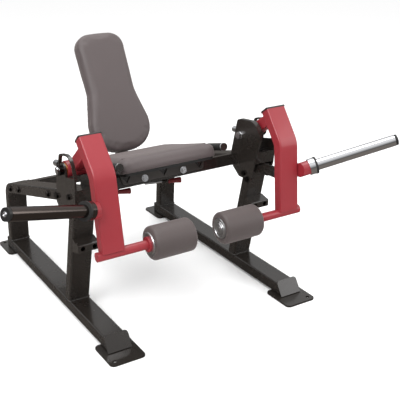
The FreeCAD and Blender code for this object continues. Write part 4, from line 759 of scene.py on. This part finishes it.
# %% Screws in the ends of the weight sleeves
SLEEVE_LENGTH, SLEEVE_CAP = 359, 12
head = rounded([(0, 2.6), (3, 2.6), (3.2, 1.4), (6.5, 3.6), (9.5, 3.0), (10, 0.02), (0, 0.02)], 1.2)
for side in ("left", "right"):
    mount = mounts[side + "_weight_sleeve"]
    outward = np.array(mount["axis"], float)
    tip = np.array(mount["pos_m"], float) + outward * (SLEEVE_LENGTH / 2 + SLEEVE_CAP) * MM
    points, faces = turned(tip, outward, head, 40)
    make_piece(side + "_sleeve_screw", points, faces, chrome, side + "_arm", 35)
print("sleeve screws done")

# %% [markdown]
# ## Pull rods
#
# Under the seat, two rods end in smooth tapered grips with a rounded rim. A rubber ring stands between each
# grip and the rod's guide. Both pieces are turned about the rod's own axis, with distances from the middle
# of the guide, and ride on the rod's body, so they slide out with it.

# %% Pull rod grips
ROD_X, ROD_Y, ROD_Z = {"left": -210, "right": 48}, 60, 488      # the middles of the guides, in mm
pull_profile = rounded([(0, 16.2), (8, 16.2), (9.5, 18), (9.8, 30), (13.2, 66), (14, 74), (12.5, 78),
                        (0, 78)], 2.5)
ring_profile = rounded([(6.2, 11.8), (9.2, 11.8), (9.2, 16), (6.2, 16)], 0.8)
for side in ("left", "right"):
    rod_axis = np.array(joints[side + "_rod_pull"]["axis"])
    guide = np.array([ROD_X[side], ROD_Y + SHIFT, ROD_Z]) * MM
    points, faces = turned(guide, rod_axis, pull_profile, 48)
    grip = make_piece(side + "_pull_grip", points, faces, red_grip, side + "_pull_rod", 40)
    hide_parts(side + "_rod_grip")
    points, faces = turned(guide, rod_axis, np.vstack([ring_profile, ring_profile[:1]]), 40)
    make_piece(side + "_pull_ring", points, faces, rubber, side + "_pull_rod", 35)
print("pull rods done")

# %% [markdown]
# ## Floor and light
#
# A plain pale floor and large soft lights, as in a product studio. The lamps are big, so the glossy black
# paint shows broad gentle highlights. A real studio is dark behind its lamps, and a reflecting surface sees
# that. So the floor and the sky are darker for glossy rays than for the rest: without it, chrome has
# nothing but white to reflect and loses its shape.

# %% Floor
FLOOR_HALF, FLOOR_DROP = 12, -0.001      # metres: the floor lies a millimetre under the feet
floor_material, tree, output, place = start_material("studio_floor")
seen = add(tree, "ShaderNodeLightPath")
paper_tone = add(tree, "ShaderNodeMixRGB", {"Fac": seen.outputs["Is Glossy Ray"], "Color1": linear("#ffffff"),
                                            "Color2": linear("#5d5854")})
paper = add(tree, "ShaderNodeBsdfDiffuse", {"Color": paper_tone.outputs["Color"]})
finish_material(tree, output, paper)
floor_mesh = bpy.data.meshes.new("floor")
floor_corners = [(-1, -1), (1, -1), (1, 1), (-1, 1)]
floor_mesh.from_pydata([(x * FLOOR_HALF, y * FLOOR_HALF, FLOOR_DROP) for x, y in floor_corners], [],
                       [(0, 1, 2, 3)])
floor_mesh.materials.append(floor_material)
floor = bpy.data.objects.new("floor", floor_mesh)
bpy.context.scene.collection.objects.link(floor)
print("floor", 2 * FLOOR_HALF, "m across")


# %% Lamps
def lamp(name, place, aim, size, watts):
    """A square area lamp of size metres at a place, turned to face a point."""
    data = bpy.data.lights.new(name, "AREA")
    data.shape, data.size, data.energy = "SQUARE", size, watts
    light = bpy.data.objects.new(name, data)
    bpy.context.scene.collection.objects.link(light)
    light.location = place
    light.rotation_euler = (Vector(place) - Vector(aim)).to_track_quat("Z", "Y").to_euler()


lamp("key", (-2.6, -2.2, 3.4), (0, 0, 0.5), 2.2, 115)
lamp("fill", (3.2, -2.6, 2.2), (0, 0, 0.5), 2.5, 45)
lamp("top", (0.0, 0.4, 4.2), (0, 0, 0.3), 3.0, 85)

# %% Sky
# White where the camera sees it, nearly white as light, and for reflections a glow that rises from 0.14 at
# the horizon to 0.9 overhead.
world = bpy.data.worlds.new("studio")
bpy.context.scene.world = world
world.use_nodes = True
sky = world.node_tree.nodes["Background"]
tree = world.node_tree
seen = add(tree, "ShaderNodeLightPath")
heading = add(tree, "ShaderNodeTexCoord")
split = add(tree, "ShaderNodeSeparateXYZ", {"Vector": heading.outputs["Generated"]})
glow = add(tree, "ShaderNodeMapRange", {"Value": split.outputs["Z"], "From Min": 0.05, "From Max": 0.75,
                                        "To Min": 0.14, "To Max": 0.9})
level = add(tree, "ShaderNodeMixRGB", {"Fac": seen.outputs["Is Glossy Ray"],
                                       "Color1": (0.95, 0.95, 0.95, 1), "Color2": glow.outputs["Result"]})
shown = add(tree, "ShaderNodeMixRGB", {"Fac": seen.outputs["Is Camera Ray"],
                                       "Color1": level.outputs["Color"], "Color2": (1, 1, 1, 1)})
sky.inputs["Strength"].default_value = 1.0
tree.links.new(shown.outputs["Color"], sky.inputs["Color"])
bpy.context.scene.view_settings.view_transform = "Standard"
print("sky:", world.name)

# %% The end of the scene
bpy.context.view_layer.update()
